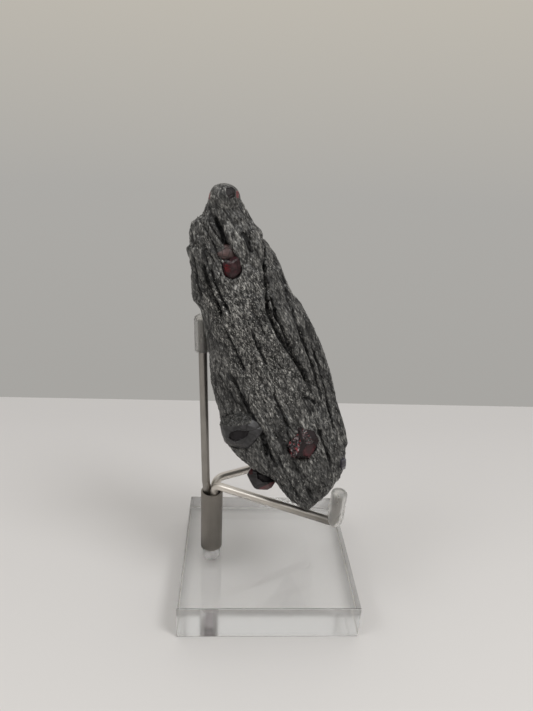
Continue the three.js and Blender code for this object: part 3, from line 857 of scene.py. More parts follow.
def steel_material(name, steel, painted_highlight_span=None):
    """Drawn stainless steel, warm grey, with fine lines along the bar; given a span along X, a painted
    highlight up to 2.4 times brighter at its start near the post, and painted shade at 0.75 at its end
    towards the tips.
    """
    m = Finish(name)
    lines = m.noise(m.place((1.0, 1.0, 0.05)), 5200.0)
    smears = m.noise(m.place(), 160.0, 3.0)
    colour = m.ramp(smears, (0.3, dimmed(steel, 0.86)), (0.7, steel))
    if painted_highlight_span is not None:
        # Painted highlight near the post and painted shade towards the arm tips, along X
        start, end = painted_highlight_span
        past = m.sums("SUBTRACT", m.axes(m.place())["X"], start * MM)
        share = m.sums("DIVIDE", past, (end - start) * MM, clamp=True)
        colour = m.mix(colour, m.ramp(share, (0.0, 2.4), (0.45, 2.0), (1.0, 0.75)))
    m.surface(Base_Color=colour, Metallic=1.0, Roughness=m.ramp(lines, (0.3, 0.36), (0.7, 0.50)))
    m.bump(lines, 0.00001, 0.4)


def stud_material():
    """Plain steel of the stud, as light as it looks through the block."""
    m = Finish("screw_steel")
    spots = m.noise(m.place(), 700.0, 3.0)
    m.surface(Base_Color=m.ramp(spots, (0.3, (0.62, 0.56, 0.59)), (0.7, (0.82, 0.76, 0.79))), Metallic=1.0,
              Roughness=0.34)


def acrylic_material(name, colour, satin, clear=1.0):
    """Clear cast acrylic with a faint tint, polished or left satin by the cutter."""
    m = Finish(name)
    haze = m.noise(m.place((1.0, 4.0, 1.0), (0.0, 0.0, 0.5)), 60.0, 3.0, 0.6)
    tint = m.ramp(haze, (0.35, dimmed(colour, clear * 0.985)), (0.65, dimmed(colour, clear)))
    m.surface(Base_Color=tint, Transmission_Weight=1.0, IOR=ACRYLIC_IOR,
              Roughness=m.ramp(haze, (0.3, satin * 0.8), (0.7, satin)))


def sleeve_material(name, colour):
    """Soft clear vinyl, slightly cloudy."""
    m = Finish(name)
    haze = m.noise(m.place((1.0, 1.0, 0.3)), 500.0, 3.0)
    m.surface(Base_Color=colour, Transmission_Weight=0.90, IOR=VINYL_IOR,
              Roughness=m.ramp(haze, (0.3, 0.24), (0.7, 0.34)))
    m.bump(haze, 0.00004, 0.5)


# Crystals, worked out at a radius of one

RHOMB_OUT = 0.87
NARROW_OUT = 0.962
EDGE_EASE = 0.012
LONG_EDGE = 0.10


def garnet_planes(seed):
    """Face directions of a garnet: twelve rhombs cut at their edges by twenty-four narrow faces."""
    planes = []
    for (a, b), sa, sb in product(((0, 1), (0, 2), (1, 2)), (-1, 1), (-1, 1)):
        n = np.zeros(3)
        n[a], n[b] = sa, sb
        planes.append((n / math.sqrt(2), RHOMB_OUT))
    for i, sa, sb, sc in product(range(3), (-1, 1), (-1, 1), (-1, 1)):
        b, c = (j for j in range(3) if j != i)
        n = np.zeros(3)
        n[i], n[b], n[c] = 2 * sa, sb, sc
        planes.append((n / math.sqrt(6), NARROW_OUT))
    ids = np.arange(len(planes))
    jitter = scatter(ids, ids * 3, ids * 7, seed)
    return [(n, d * (1.0 + 0.045 * j)) for (n, d), j in zip(planes, jitter)]


def crystal_basis(aim, spin):
    """Turn that points one rhombic face along aim, with its long diagonal spin degrees from level."""
    aim = normed(np.array(aim))
    level_way = normed(np.cross([0.0, 0.0, 1.0], aim))
    upward = np.cross(aim, level_way)
    turn = math.radians(spin)
    diagonal = math.cos(turn) * level_way + math.sin(turn) * upward
    half = math.sqrt(0.5)
    x_axis = half * (aim + diagonal)
    y_axis = half * (aim - diagonal)
    return np.stack([x_axis, y_axis, np.cross(x_axis, y_axis)], axis=1)


def sliced(work, point, normal, **more):
    """Cuts a whole mesh by a plane; returns what lies on the cut."""
    everything = work.verts[:] + work.edges[:] + work.faces[:]
    cut = bmesh.ops.bisect_plane(work, geom=everything, plane_co=point, plane_no=normal, **more)
    return cut["geom_cut"]


def seen_inside(point, corners, walls, middle):
    """Whether a point, seen from the camera, falls within an outline."""
    return all((point - a).dot(wall) * (middle - a).dot(wall) > 0.0 for a, wall in zip(corners, walls))


def cut_facets(work, facets, seed):
    """Cuts the outlined areas into the crystal's near side and gives each its own finish number."""
    eye = Vector(EYE)
    for number, (_, sink, chips, plane_y, outline) in enumerate(facets, 1):
        corners = [Vector((x, plane_y, z)) for x, z in outline]
        walls = [(b - a).cross(eye - a).normalized() for a, b in zip(corners, corners[1:] + corners[:1])]
        middle = sum(corners, Vector()) / len(corners)
        for a, wall in zip(corners, walls):
            sliced(work, a, wall)
        work.normal_update()
        for face in work.faces:
            spot = face.calc_center_median()
            if face.normal.dot(eye - spot) > 0.0 and seen_inside(spot, corners, walls, middle):
                face.material_index = number
        inner = [v for v in work.verts
                 if v.link_faces and all(f.material_index == number for f in v.link_faces)]
        if not inner:
            continue
        spots = np.array([v.co for v in inner])
        bits = mottle(spots / 0.55, seed + 3) + 0.6 * mottle(spots / 0.28, seed + 4)
        shifts = -sink + 0.30 * chips * np.round(bits * 2.0) / 2.0
        for v, shift in zip(inner, shifts):
            v.co += v.normal * shift


def crystal_piece(name, centre, radius, aim, spin, stretch, seed, facets, worn):
    """One faceted crystal: a block cut by its face planes, its edges eased and its faces slightly stepped."""
    work = bmesh.new()
    bmesh.ops.create_cube(work, size=3.0)
    for normal, distance in garnet_planes(seed):
        cut = sliced(work, Vector(normal) * distance, Vector(normal), clear_outer=True)
        rim = [e for e in cut if isinstance(e, bmesh.types.BMEdge)]
        if rim:
            bmesh.ops.edgeloop_fill(work, edges=rim)
    bmesh.ops.remove_doubles(work, verts=work.verts, dist=EDGE_EASE)
    bmesh.ops.bevel(work, geom=work.edges[:], offset=EDGE_EASE, segments=2, affect="EDGES",
                    clamp_overlap=True)
    bmesh.ops.triangulate(work, faces=work.faces)
    for _ in range(4):
        long_edges = [e for e in work.edges if e.calc_length() > LONG_EDGE]
        if not long_edges:
            break
        bmesh.ops.subdivide_edges(work, edges=long_edges, cuts=1)
        bmesh.ops.triangulate(work, faces=work.faces)
    points = np.array([v.co for v in work.verts])
    wave = mottle(points * 2.6 + seed, seed + 1)
    steps = 0.008 * np.sign(wave) * unit(np.abs(wave) * 6.0)
    fine = 0.003 * mottle(points * 14.0, seed + 2)
    basis = crystal_basis(aim, spin)
    points = points * (1.0 + (steps + fine)[:, None])
    sphere = points / np.linalg.norm(points, axis=1)[:, None]
    points = points * (1.0 - worn) + sphere * worn * 0.93
    placed = (points @ basis.T) * np.array(stretch) * radius + np.array(centre)
    for v, co in zip(work.verts, placed):
        v.co = Vector(co)
    work.normal_update()
    if work.calc_volume(signed=True) < 0.0:
        bmesh.ops.reverse_faces(work, faces=work.faces)
    cut_facets(work, facets, seed)
    bmesh.ops.triangulate(work, faces=work.faces)
    bmesh.ops.scale(work, vec=(MM, MM, MM), verts=work.verts)
    mesh = bpy.data.meshes.new(name)
    work.to_mesh(mesh)
    work.free()
    smooth(mesh, 16)
    return in_scene(name, mesh)


# Settings

def tint(name, description, *default):
    """A colour setting."""
    return FloatVectorProperty(name=name, description=description, subtype="COLOR", size=3, default=default)


def length(name, description, default, precision=4):
    """A length setting, in metres."""
    return FloatProperty(name=name, description=description, default=default, precision=precision,
                         unit="LENGTH")


def whole(name, description, default, low=0, high=1000):
    """A whole number."""
    return IntProperty(name=name, description=description, default=default, min=low, max=high)


def factor(name, description, default, low=0.0, high=2.0):
    """A plain number."""
    return FloatProperty(name=name, description=description, default=default, min=low, max=high)


class SpecimenRock(bpy.types.PropertyGroup):
    """Fineness and glitter of the rock."""

    levels: whole("Levels", "Rows of the rock's mesh from foot to crown", 322, 40, 400)
    around: whole("Around", "Points round each row of the rock's mesh", 296, 40, 400)
    near_share: factor("Near share", "Share of each row that lies on the near side", 0.58, 0.3, 0.8)
    flake_count: whole("Flakes", "Grains in each of the two mica pieces", 24000, 1000, 24500)
    flake_size: length("Flake size", "Length of a middling mica grain", 0.00055, 5)
    flake_seed: whole("Flake seed", "Fixed seed for the mica grains", 4)


class SpecimenLook(bpy.types.PropertyGroup):
    """Colours of the specimen and its stand."""

    rock_dark: tint("Rock, dark", "Darkest streaks of the schist", 0.010, 0.010, 0.010)
    rock_mid: tint("Rock, middle", "Main grey of the schist", 0.072, 0.0715, 0.070)
    rock_light: tint("Rock, light", "Light streaks of the schist", 0.225, 0.222, 0.213)
    rock_flake: tint("Rock, flake", "Brightest grains in the schist", 0.52, 0.512, 0.49)
    glitter: factor("Glitter", "How far each grain is tilted", 0.95)
    mica_dark: tint("Mica, dark", "Dark mica grains", 0.012, 0.012, 0.012)
    mica_mid: tint("Mica, middle", "Grey mica grains", 0.070, 0.069, 0.065)
    mica_light: tint("Mica, light", "Pale mica grains", 0.26, 0.255, 0.243)
    mica_bright: tint("Mica, bright", "Brightest mica grains", 0.56, 0.55, 0.52)
    garnet: tint("Garnet", "Red of the clear crystals", 0.30, 0.006, 0.016)
    steel: tint("Steel", "Warm grey of the stand's steel", 0.33, 0.312, 0.288)
    post: tint("Post", "Darker brushed grey of the post", 0.255, 0.238, 0.216)
    acrylic: tint("Acrylic", "Tint of the clear block", 0.990, 0.993, 0.992)
    sleeve: tint("Sleeve", "Tint of the clear sleeves", 0.86, 0.855, 0.84)


class SpecimenStand(bpy.types.PropertyGroup):
    """Sizes of the stand."""

    block: length("Block side", "Side of the square acrylic block", 0.050)
    block_height: length("Block height", "Thickness of the acrylic block", 0.010)
    edge: length("Edge", "Width of the block's eased edges", 0.00025)
    wire_radius: length("Wire radius", "Radius of the bent wires", 0.00115, 5)
    sleeve_radius: length("Sleeve radius", "Outer radius of the clear sleeves", 0.0021)


class SpecimenStage(bpy.types.PropertyGroup):
    """Floor, light and camera."""

    floor: tint("Floor", "Colour of the pale floor", 0.745, 0.730, 0.718)
    backdrop: tint("Backdrop", "Colour of the space behind the floor", 0.41, 0.40, 0.38)
    overhead: factor("Overhead light", "Brightness of the soft light from above", 0.75)
    focal: factor("Focal length", "Camera focal length in mm on a 36 mm long side", 28.13, 10.0, 200.0)


# Operators

class SPECIMEN_OT_materials(bpy.types.Operator):
    """Makes every finish of the specimen and its stand"""

    bl_idname = "specimen.materials"
    bl_label = "Materials"

    def execute(self, context):
        look = context.scene.specimen_look
        schist_material(look)
        schist_material(look, "garnet_crusted", 0.50)
        schist_material(look, "garnet_dusted", 0.80, 0.45)
        mica_material(look)
        red = tuple(look.garnet)
        for name, (colour, *rest) in GARNETS.items():
            garnet_material(name, dimmed(red, colour) if isinstance(colour, float) else colour, *rest)
        splinter_material("garnet_splintered", red, 0.70)
        splinter_material("garnet_broken", red, 0.22)
        steel_material("stand_steel", look.steel)
        # The arms' steel carries a painted highlight near the post and painted shade at the tips
        steel_material("arm_steel", look.steel, (-13.0, 13.0))
        steel_material("post_steel", look.post)
        stud_material()
        acrylic_material("acrylic", look.acrylic, 0.02)
        # Painted shade: the side faces' tint is dimmed to 0.85 of the block's, darkening the faces seen
        # through the block
        acrylic_material("acrylic_side", look.acrylic, 0.20, 0.85)
        acrylic_material("acrylic_drilled", look.acrylic, 0.55)
        # One vinyl for all sleeves: the near sleeves' colour is lifted 1.08 times as painted light, the back
        # sleeve's dimmed to 0.74 as painted shade
        sleeve_material("sleeve", dimmed(look.sleeve, 1.08))
        sleeve_material("sleeve_back", dimmed(look.sleeve, 0.74))
        return {"FINISHED"}


class SPECIMEN_OT_rock(bpy.types.Operator):
    """Carves the schist slab as one closed mesh"""

    bl_idname = "specimen.rock"
    bl_label = "Rock"

    def execute(self, context):
        rock = context.scene.specimen_rock
        count, rows = rock.around, rock.levels
        grid = slab_grid(rows, count, rock.near_share)
        normals = grid_normals(grid).reshape(-1, 3)
        p = grid.reshape(-1, 3)
        height, painted_shade = rock_relief(p, normals)
        z = p[:, 2]
        calm = unit((z - FOOT_Z) / 1.2) * np.clip((CROWN_Z - z) / 0.8, 0.15, 1.0)
        from_crown = np.linalg.norm(p - np.array([-14.2, -4.6, 113.2]), axis=1)
        calm = calm * np.clip((from_crown - 3.6) / 1.6, 0.25, 1.0)
        p = p + (height * calm)[:, None] * normals
        p, painted_shade = seat_crystals(p, painted_shade)
        p = keep_clear_of_stand(p)
        faces = []
        for k in range(rows - 1):
            faces += band(k * count, (k + 1) * count, count)
        points = list(p)
        near_tip = int(np.argmin(p[:count, 1]))
        left = [(near_tip - i) % count for i in range(count // 2 + 1)]
        right = [(near_tip + i) % count for i in range(count // 2 + 1)]
        for i in range(count // 2):
            face = tuple(dict.fromkeys((left[i], left[i + 1], right[i + 1], right[i])))
            if len(face) > 2:
                faces.append(face)
        top = list(range((rows - 1) * count, rows * count))
        close_end(points, faces, top, np.mean([points[i] for i in top], axis=0), False)
        piece = piece_from("schist_slab", points, faces)
        x, y, z = p.T
        at_sleeve = (np.abs(y) < 3.4) & (x < -15.0) & (z > 70.5) & (z < 87.5)
        bare = at_sleeve | (painted_shade > 0.97) | (z > CROWN_Z - 0.8) | (z < FOOT_Z + 0.4)
        # Glittering zone: more mica grains there, and painted glitter in the schist's colour
        lively = spark_zone(p)
        spread = (1.0 - bare) * (0.15 + 0.85 * lively)
        for label, numbers in (("painted_shade", painted_shade), ("lively", lively), ("open", spread)):
            values = np.zeros(len(piece.data.vertices), np.float32)
            values[:len(numbers)] = numbers
            piece.data.attributes.new(label, "FLOAT", "POINT").data.foreach_set("value", values)
        face_outwards(piece, merge=False)
        piece.data.shade_smooth()
        hand_over(piece, ["schist"], "schist", "matrix")
        return {"FINISHED"}


def flake_tree(piece, name, count, size, seed):
    """Node tree that strews flat mica grains over the rock, lying with its skin and its grain."""
    g = Nodes(bpy.data.node_groups.new(name, "GeometryNodeTree"))
    face = g.tree.interface
    for way in ("INPUT", "OUTPUT"):
        face.new_socket("Geometry", in_out=way, socket_type="NodeSocketGeometry")
    inputs = (("Count", "NodeSocketInt", count), ("Length", "NodeSocketFloat", size),
              ("Seed", "NodeSocketInt", seed))
    sockets = []
    for label, kind, value in inputs:
        sockets.append(face.new_socket(label, in_out="INPUT", socket_type=kind).identifier)
    given = g.node("NodeGroupInput").outputs

    def random_vector(low, high, offset):
        shifted = g.node("FunctionNodeIntegerMath", {0: given["Seed"], 1: offset}).outputs[0]
        ends = {"Min": low, "Max": high, "Seed": shifted}
        return g.node("FunctionNodeRandomValue", ends, data_type="FLOAT_VECTOR").outputs["Value"]

    area = g.node("GeometryNodeInputMeshFaceArea").outputs[0]
    whole = g.node("GeometryNodeAttributeStatistic", {"Geometry": given["Geometry"], "Attribute": area},
                   domain="FACE")
    open_skin = g.node("GeometryNodeInputNamedAttribute", {"Name": "open"}, data_type="FLOAT")
    per_area = g.sums("DIVIDE", given["Count"], whole.outputs["Sum"])
    density = g.sums("MULTIPLY", per_area, open_skin.outputs["Attribute"])
    strew = g.node("GeometryNodeDistributePointsOnFaces",
                   {"Mesh": given["Geometry"], "Density": density, "Seed": given["Seed"]}).outputs
    grain = g.node("GeometryNodeMeshUVSphere", {"Segments": 4, "Rings": 2, "Radius": 0.5})
    to_skin = g.node("FunctionNodeAlignRotationToVector", {"Vector": strew["Normal"]}, axis="Z")
    to_grain = g.node("FunctionNodeAlignRotationToVector",
                      {"Vector": tuple(ALONG), "Rotation": to_skin.outputs["Rotation"]},
                      axis="X", pivot_axis="Z")
    tips = random_vector((-0.7, -0.45, -0.45), (0.7, 0.45, 0.45), 11)
    tipped = g.node("FunctionNodeRotateRotation",
                    {"Rotation": to_grain.outputs["Rotation"], "Rotate By": tips}, rotation_space="LOCAL")
    sizes = g.scaled(random_vector((0.7, 0.30, 0.22), (1.5, 0.60, 0.40), 23), given["Length"])
    copies = g.node("GeometryNodeInstanceOnPoints",
                    {"Points": strew["Points"], "Instance": grain.outputs["Mesh"],
                     "Rotation": tipped.outputs["Rotation"], "Scale": sizes})
    shade = g.node("FunctionNodeRandomValue", {"Seed": given["Seed"]}, data_type="FLOAT").outputs[1]
    toned = g.node("GeometryNodeStoreNamedAttribute",
                   {"Geometry": copies.outputs["Instances"], "Name": "tone", "Value": shade},
                   domain="INSTANCE", data_type="FLOAT")
    real = g.node("GeometryNodeRealizeInstances", {"Geometry": toned.outputs["Geometry"]})
    dressed = g.node("GeometryNodeSetMaterial",
                     {"Geometry": real.outputs["Geometry"], "Material": FINISHES["mica"]})
    g.node("NodeGroupOutput", {"Geometry": dressed.outputs["Geometry"]})
    modifier = piece.modifiers.new(name, "NODES")
    modifier.node_group = g.tree
    for identifier, (label, kind, value) in zip(sockets, inputs):
        modifier[identifier] = value


class SPECIMEN_OT_mica(bpy.types.Operator):
    """Strews mica grains over the rock with geometry nodes"""

    bl_idname = "specimen.mica"
    bl_label = "Mica grains"

    def execute(self, context):
        source = bpy.data.objects["schist_slab"]
        rock = context.scene.specimen_rock
        for name, size, seed in (("mica_coarse", rock.flake_size * 0.90, rock.flake_seed),
                                 ("mica_fine", rock.flake_size * 0.66, rock.flake_seed + 5)):
            piece = in_scene(name, source.data.copy())
            flake_tree(piece, name, rock.flake_count, size, seed)
            keep_modified(piece)
            if not len(piece.data.polygons):
                raise RuntimeError("the mica grains came out empty")
            piece.data.materials.clear()
            piece.data.polygons.foreach_set("material_index", [0] * len(piece.data.polygons))
            hand_over(piece, ["mica"], "schist")
        return {"FINISHED"}


class SPECIMEN_OT_crystals(bpy.types.Operator):
    """Cuts the garnet crystals and sets them in the rock"""

    bl_idname = "specimen.crystals"
    bl_label = "Garnet crystals"

    def execute(self, context):
        for name, *form, finish, seed in CRYSTALS:
            facets = FACETS.get(name, [])
            piece = crystal_piece(name + "_crystal", *form, seed, facets, WORN.get(name, 0.0))
            finishes = ["garnet_" + kind for kind in (finish, *(facet[0] for facet in facets))]
            slot = "garnet_coated" if finish in ("coated", "skinned", "dusted") else "garnet"
            hand_over(piece, finishes, slot, name)
        return {"FINISHED"}


def arm_tip(side, top):
    """Last stretch of a cradle arm: the turn-up and the short upright tip."""
    (x0, y0), (x1, y1), (x2, y2), (x3, y3) = ARM_END
    foot = (x2, side * y2, ARM_Z + 2.1)
    points = curve_points((x0, side * y0, ARM_Z), (x1, side * y1, ARM_Z), foot, 10)
    return points + straight_points(foot, (x3, side * y3, top), 10)


def arm_route(side, top):
    """Middle line of a cradle arm, from inside the post to its tip."""
    x0 = POST_X + WIRE_PITCH_R / 2
    x1, y1 = ARM_END[0]
    route = [np.array([x0, side * 1.2, WIRE_Z0])]
    route += straight_points(route[-1], (x0, side * 1.2, 30.4), 4)
    route += curve_points(route[-1], (x0 + 0.1, side * 1.4, ARM_Z - 0.1), (-13.6, side * 2.9, ARM_Z), 12)
    route += straight_points(route[-1], (x1, side * y1, ARM_Z), 26)
    return route + arm_tip(side, top)


class SPECIMEN_OT_wires(bpy.types.Operator):
    """Bends the back rod and the two cradle arms"""

    bl_idname = "specimen.wires"
    bl_label = "Wires"

    def execute(self, context):
        radius = context.scene.specimen_stand.wire_radius / MM
        rod_x = POST_X - WIRE_PITCH_R
        rod = [np.array([rod_x, 0.0, WIRE_Z0])]
        rod += straight_points(rod[-1], (rod_x, 0.0, 28.6), 4)
        rod += curve_points(rod[-1], (rod_x - 0.05, 0.0, 30.8), (-18.6, 0.0, 33.4), 10)
        rod += straight_points(rod[-1], (BACK_TIP[0], 0.0, BACK_TIP[1]), 24)
        hand_over(wire_piece("back_rod_wire", rod, radius), ["stand_steel"], "stand_steel", "back_rod")
        for name, side in (("near_arm", -1), ("far_arm", 1)):
            piece = wire_piece(name + "_wire", arm_route(side, ARM_TOP), radius)
            hand_over(piece, ["arm_steel"], "stand_steel", name)
        return {"FINISHED"}


def sleeve_piece(name, path, outer, bore, tip_gap):
    """Clear sleeve: bored tube along a path with a round nose past its end."""
    last = len(path) - 1
    stations = [(0, 0.0, bore + 0.12), (0, 0.0, outer - 0.12), (0, 0.12, outer)]
    stations += [(i, 0.0, outer) for i in range(1, last + 1)]
    for a in np.radians(np.linspace(0.0, 80.0, 9)[1:]):
        stations.append((last, 1.30 * math.sin(a), outer * math.cos(a) ** 0.8))
    inner = [(last, tip_gap, bore * 0.35), (last, tip_gap, bore * 0.9), (last, tip_gap - 0.15, bore)]
    inner += [(i, 0.0, bore) for i in range(last, 0, -1)] + [(0, 0.1, bore)]
    count = 30
    points, faces = swept(path, stations, count)
    more_points, more_faces = swept(path, inner, count)
    shift = len(points)
    points += more_points
    faces += [tuple(i + shift for i in f) for f in more_faces]
    faces += band(len(points) - count, 0, count)
    tip = np.asarray(path[-1])
    ahead = frames_along(path)[0][-1]
    close_end(points, faces, list(range(shift - count, shift)), tip + ahead * 1.31, False)
    close_end(points, faces, list(range(shift, shift + count)), tip + ahead * tip_gap, True)
    piece = piece_from(name, points, faces)
    face_outwards(piece, 45)
    return piece


class SPECIMEN_OT_sleeves(bpy.types.Operator):
    """Makes the clear sleeves over the wire ends"""

    bl_idname = "specimen.sleeves"
    bl_label = "Sleeves"

    def execute(self, context):
        stand = context.scene.specimen_stand
        outer = stand.sleeve_radius / MM
        bore = stand.wire_radius / MM + SLEEVE_PLAY
        for name, side in (("near_sleeve", -1), ("far_sleeve", 1)):
            piece = sleeve_piece(name + "_skin", arm_tip(side, ARM_SLEEVE_TOP)[3:], outer, bore, -0.1)
            hand_over(piece, ["sleeve"], "sleeve", name)
        low = np.array(BACK_SLEEVE_FOOT)
        axis = np.array([-math.sin(SLEEVE_LEAN), 0.0, math.cos(SLEEVE_LEAN)])
        path = [low] + straight_points(low, low + axis * BACK_SLEEVE_LENGTH, 12)
        piece = sleeve_piece("back_sleeve_skin", path, outer, bore, 0.0)
        hand_over(piece, ["sleeve_back"], "sleeve", "back_sleeve")
        return {"FINISHED"}


def threaded_stud(name):
    """Headless stud with a rolled thread: its thick half is in the block, its thin half in the post."""
    count, pitch, thread = 36, 0.7, 0.28
    low, high = STUD_Z
    angles = turn_angles(count)
    rows = [(np.full(count, 1.95), low)]
    for z in np.arange(low + 0.35, high - 0.3, pitch / 8):
        crest = 2.45 if z < BLOCK_TOP - 0.1 else 2.0
        wave = np.abs(((z / pitch + angles / (2 * math.pi)) % 1.0) - 0.5) * 2.0
        rows.append((crest - thread + thread * unit(wave * 1.5 - 0.25), z))
    rows += [(np.full(count, 1.5), high - 0.2), (np.full(count, 0.9), high)]
    points = []
    faces = []
    for k, (radius, z) in enumerate(rows):
        ring = [POST_X + radius * np.cos(angles), radius * np.sin(angles), np.full(count, z)]
        points.extend(np.stack(ring, axis=1))
        if k:
            faces += band((k - 1) * count, k * count, count)
    close_both(points, faces, count, np.array([POST_X, 0.0, low]), np.array([POST_X, 0.0, high]))
    piece = piece_from(name, points, faces)
    face_outwards(piece, 35)
    return piece


class SPECIMEN_OT_post(bpy.types.Operator):
    """Turns the post and the stud that holds it"""

    bl_idname = "specimen.post"
    bl_label = "Post and stud"

    def execute(self, context):
        low, high = POST_Z
        profile = [(0.0, 18.2), (2.2, 17.4), (2.2, low + 0.3), (2.5, low), (2.95, low), (POST_R, low + 0.25),
                   (POST_R, high - 0.28), (3.13, high - 0.08), (3.0, high), (2.72, high),
                   (WELL_R, high - 0.1), (WELL_R, WELL_FLOOR), (0.0, WELL_FLOOR)]
        post = revolved("post_tube", profile, 64, POST_X)
        face_outwards(post, 35)
        hand_over(post, ["post_steel"], "stand_steel", "post")
        hand_over(threaded_stud("stud_body"), ["screw_steel"], "screw_steel", "base_stud")
        return {"FINISHED"}


class SPECIMEN_OT_block(bpy.types.Operator):
    """Makes the clear acrylic block with eased edges and the drilled hole for its stud"""

    bl_idname = "specimen.block"
    bl_label = "Acrylic block"

    def execute(self, context):
        stand = context.scene.specimen_stand
        h, height = stand.block / MM / 2, stand.block_height / MM
        corners = [(x, y, z) for z in (0.0, height) for x, y in ((-h, -h), (h, -h), (h, h), (-h, h))]
        faces = [(3, 2, 1, 0), (4, 5, 6, 7), (0, 1, 5, 4), (1, 2, 6, 5), (2, 3, 7, 6), (3, 0, 4, 7)]
        block = piece_from("acrylic_block", corners, faces)
        ease = block.modifiers.new("ease", "BEVEL")
        ease.width = stand.edge
        ease.segments = 3
        ease.limit_method = "ANGLE"
        keep_modified(block)
        bore, floor = STUD_HOLE
        profile = [(0.0, floor), (bore, floor), (bore, height + 1.0), (0.0, height + 1.0)]
        drill = revolved("drill", profile, 64, POST_X)
        face_outwards(drill)
        cut = block.modifiers.new("hole", "BOOLEAN")
        cut.operation = "DIFFERENCE"
        cut.solver = "EXACT"
        cut.object = drill
        keep_modified(block)
        bpy.data.objects.remove(drill)
        face_outwards(block, 10)
        block.data.materials.clear()
        for face in block.data.polygons:
            x, y, z = face.center / MM
            if math.hypot(x - POST_X, y) < bore + 0.05 and z < height - 0.01:
                face.material_index = 2
            elif max(abs(x), abs(y)) > h - 0.01:
                face.material_index = 1
        hand_over(block, ["acrylic", "acrylic_side", "acrylic_drilled"], "acrylic", "base_block")
        return {"FINISHED"}


def lay_floor(colour):
    """Pale floor, with painted light that makes it brighter under the block and painted shade that darkens it
    towards the back.
    """
    corners = [(x, y, -0.02) for x, y in ((-900, -900), (900, -900), (900, 126), (-900, 118))]
    floor = piece_from("floor", corners, [(0, 1, 2, 3)])
    m = Finish("floor")
    plain = m.ramp(m.noise(m.place(), 4.0), (0.3, dimmed(colour, 0.98)), (0.7, colour))
    axes = m.axes(m.place())
    # Painted shade, darker towards the back
    depth = m.line(axes["Y"], 4.0, 0.5, clamp=True)
    falloff = m.ramp(depth, (0.1, 1.02), (0.9, (0.84, 0.84, 0.85)))
    # Painted light, 1.31 times brighter under the block
    reach = m.sums("MAXIMUM", m.sums("ABSOLUTE", axes["X"]), m.sums("ABSOLUTE", axes["Y"]))
    under = m.ramp(m.sums("DIVIDE", reach, 0.05), (0.44, 1.31), (0.50, 1.0))
    m.surface(Base_Color=m.mix(m.mix(plain, falloff), under), Roughness=0.55)
    floor.data.materials.append(FINISHES["floor"])


def light_studio(backdrop, overhead):
    """Soft grey surroundings, brighter above, with two round lamps."""
    world = bpy.data.worlds.new("studio")
    world.use_nodes = True
    bpy.context.scene.world = world
    w = Nodes(world.node_tree)
    axes = w.axes(w.node("ShaderNodeTexCoord").outputs["Generated"])
    rise = w.line(axes["Z"], 0.5, 0.5)
    high = tuple(c * f for c, f in zip(backdrop, (1.24, 1.20, 1.12)))
    colour = w.ramp(rise, (0.30, dimmed(backdrop, 0.94)), (0.46, backdrop), (0.60, high),
                    (0.90, dimmed((1.0, 0.985, 0.96), overhead)))
    ahead = w.ramp(w.line(axes["Y"], 0.5, 0.5), (0.10, 0.80), (0.55, 1.0))
    glow = w.node("ShaderNodeBackground", {"Color": w.mix(colour, ahead)})
    w.node("ShaderNodeOutputWorld", {"Surface": glow.outputs[0]})
    for name, place, size, power in LAMPS:
        data = bpy.data.lights.new(name, "AREA")
        data.shape = "DISK"
        data.size = size
        data.energy = power
        lamp = in_scene(name, data)
        lamp.location = place
        lamp.rotation_euler = (Vector(place) - Vector(LAMP_AIM)).to_track_quat("Z", "Y").to_euler()


def set_camera(focal):
    """Camera at the photograph's angle."""
    camera = bpy.data.cameras.new("camera")
    camera.sensor_width = 36.0
    camera.lens = focal
    camera.clip_start = 0.005
    camera.clip_end = 20.0
    viewer = in_scene("camera", camera)
    yaw, pitch, roll = (Matrix.Rotation(math.radians(a), 3, axis) for a, axis in EYE_TURNS)
    right, ahead, up = (yaw @ pitch @ roll).transposed()
    turned = Matrix((right, up, -ahead)).transposed().to_4x4()
    turned.translation = Vector(EYE) * MM
    viewer.matrix_world = turned
    bpy.context.scene.camera = viewer


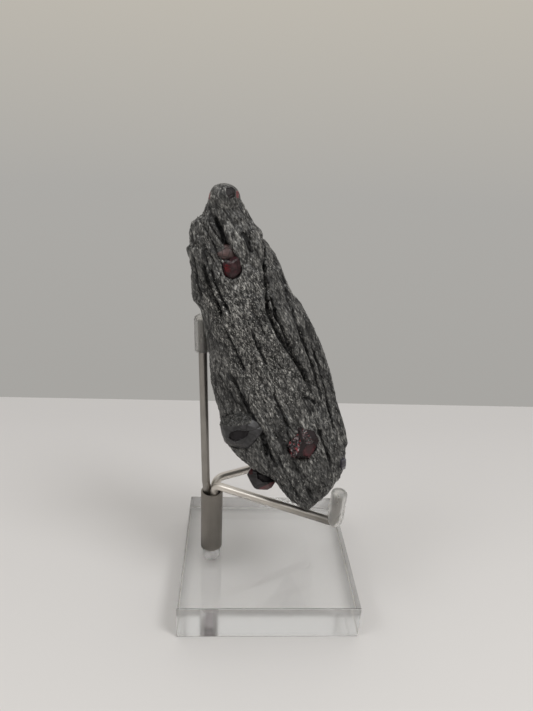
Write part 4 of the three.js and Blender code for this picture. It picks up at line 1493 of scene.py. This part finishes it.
class SPECIMEN_OT_stage(bpy.types.Operator):
    """Lays the pale floor and sets the soft light and the camera"""

    bl_idname = "specimen.stage"
    bl_label = "Stage"

    def execute(self, context):
        stage = context.scene.specimen_stage
        lay_floor(tuple(stage.floor))
        light_studio(tuple(stage.backdrop), stage.overhead)
        set_camera(stage.focal)
        context.scene.view_settings.view_transform = "Standard"
        return {"FINISHED"}


class SPECIMEN_PT_panel(bpy.types.Panel):
    """Lists the specimen's steps and settings"""

    bl_idname = "SPECIMEN_PT_panel"
    bl_label = "Garnet specimen"
    bl_space_type = "VIEW_3D"
    bl_region_type = "UI"
    bl_category = "Specimen"

    def draw(self, context):
        for group in GROUPS:
            settings = getattr(context.scene, group)
            box = self.layout.box()
            for key in settings.bl_rna.properties.keys():
                if key not in {"rna_type", "name"}:
                    box.prop(settings, key)
        for step in STEPS:
            self.layout.operator(step.bl_idname)


GROUPS = {"specimen_rock": SpecimenRock, "specimen_stand": SpecimenStand, "specimen_look": SpecimenLook,
          "specimen_stage": SpecimenStage}
STEPS = (SPECIMEN_OT_stage, SPECIMEN_OT_materials, SPECIMEN_OT_rock, SPECIMEN_OT_mica, SPECIMEN_OT_crystals,
         SPECIMEN_OT_wires, SPECIMEN_OT_sleeves, SPECIMEN_OT_post, SPECIMEN_OT_block)
CLASSES = (*GROUPS.values(), *STEPS, SPECIMEN_PT_panel)


def register():
    for made in CLASSES:
        bpy.utils.register_class(made)
    for name, group in GROUPS.items():
        setattr(bpy.types.Scene, name, PointerProperty(type=group))


def unregister():
    for name in GROUPS:
        delattr(bpy.types.Scene, name)
    for made in reversed(CLASSES):
        bpy.utils.unregister_class(made)


def main():
    register()
    bpy.ops.specimen.stage()
    bpy.ops.specimen.materials()
    bpy.ops.specimen.rock()
    bpy.ops.specimen.mica()
    bpy.ops.specimen.crystals()
    bpy.ops.specimen.wires()
    bpy.ops.specimen.sleeves()
    bpy.ops.specimen.post()
    bpy.ops.specimen.block()


if __name__ == "__main__":
    main()
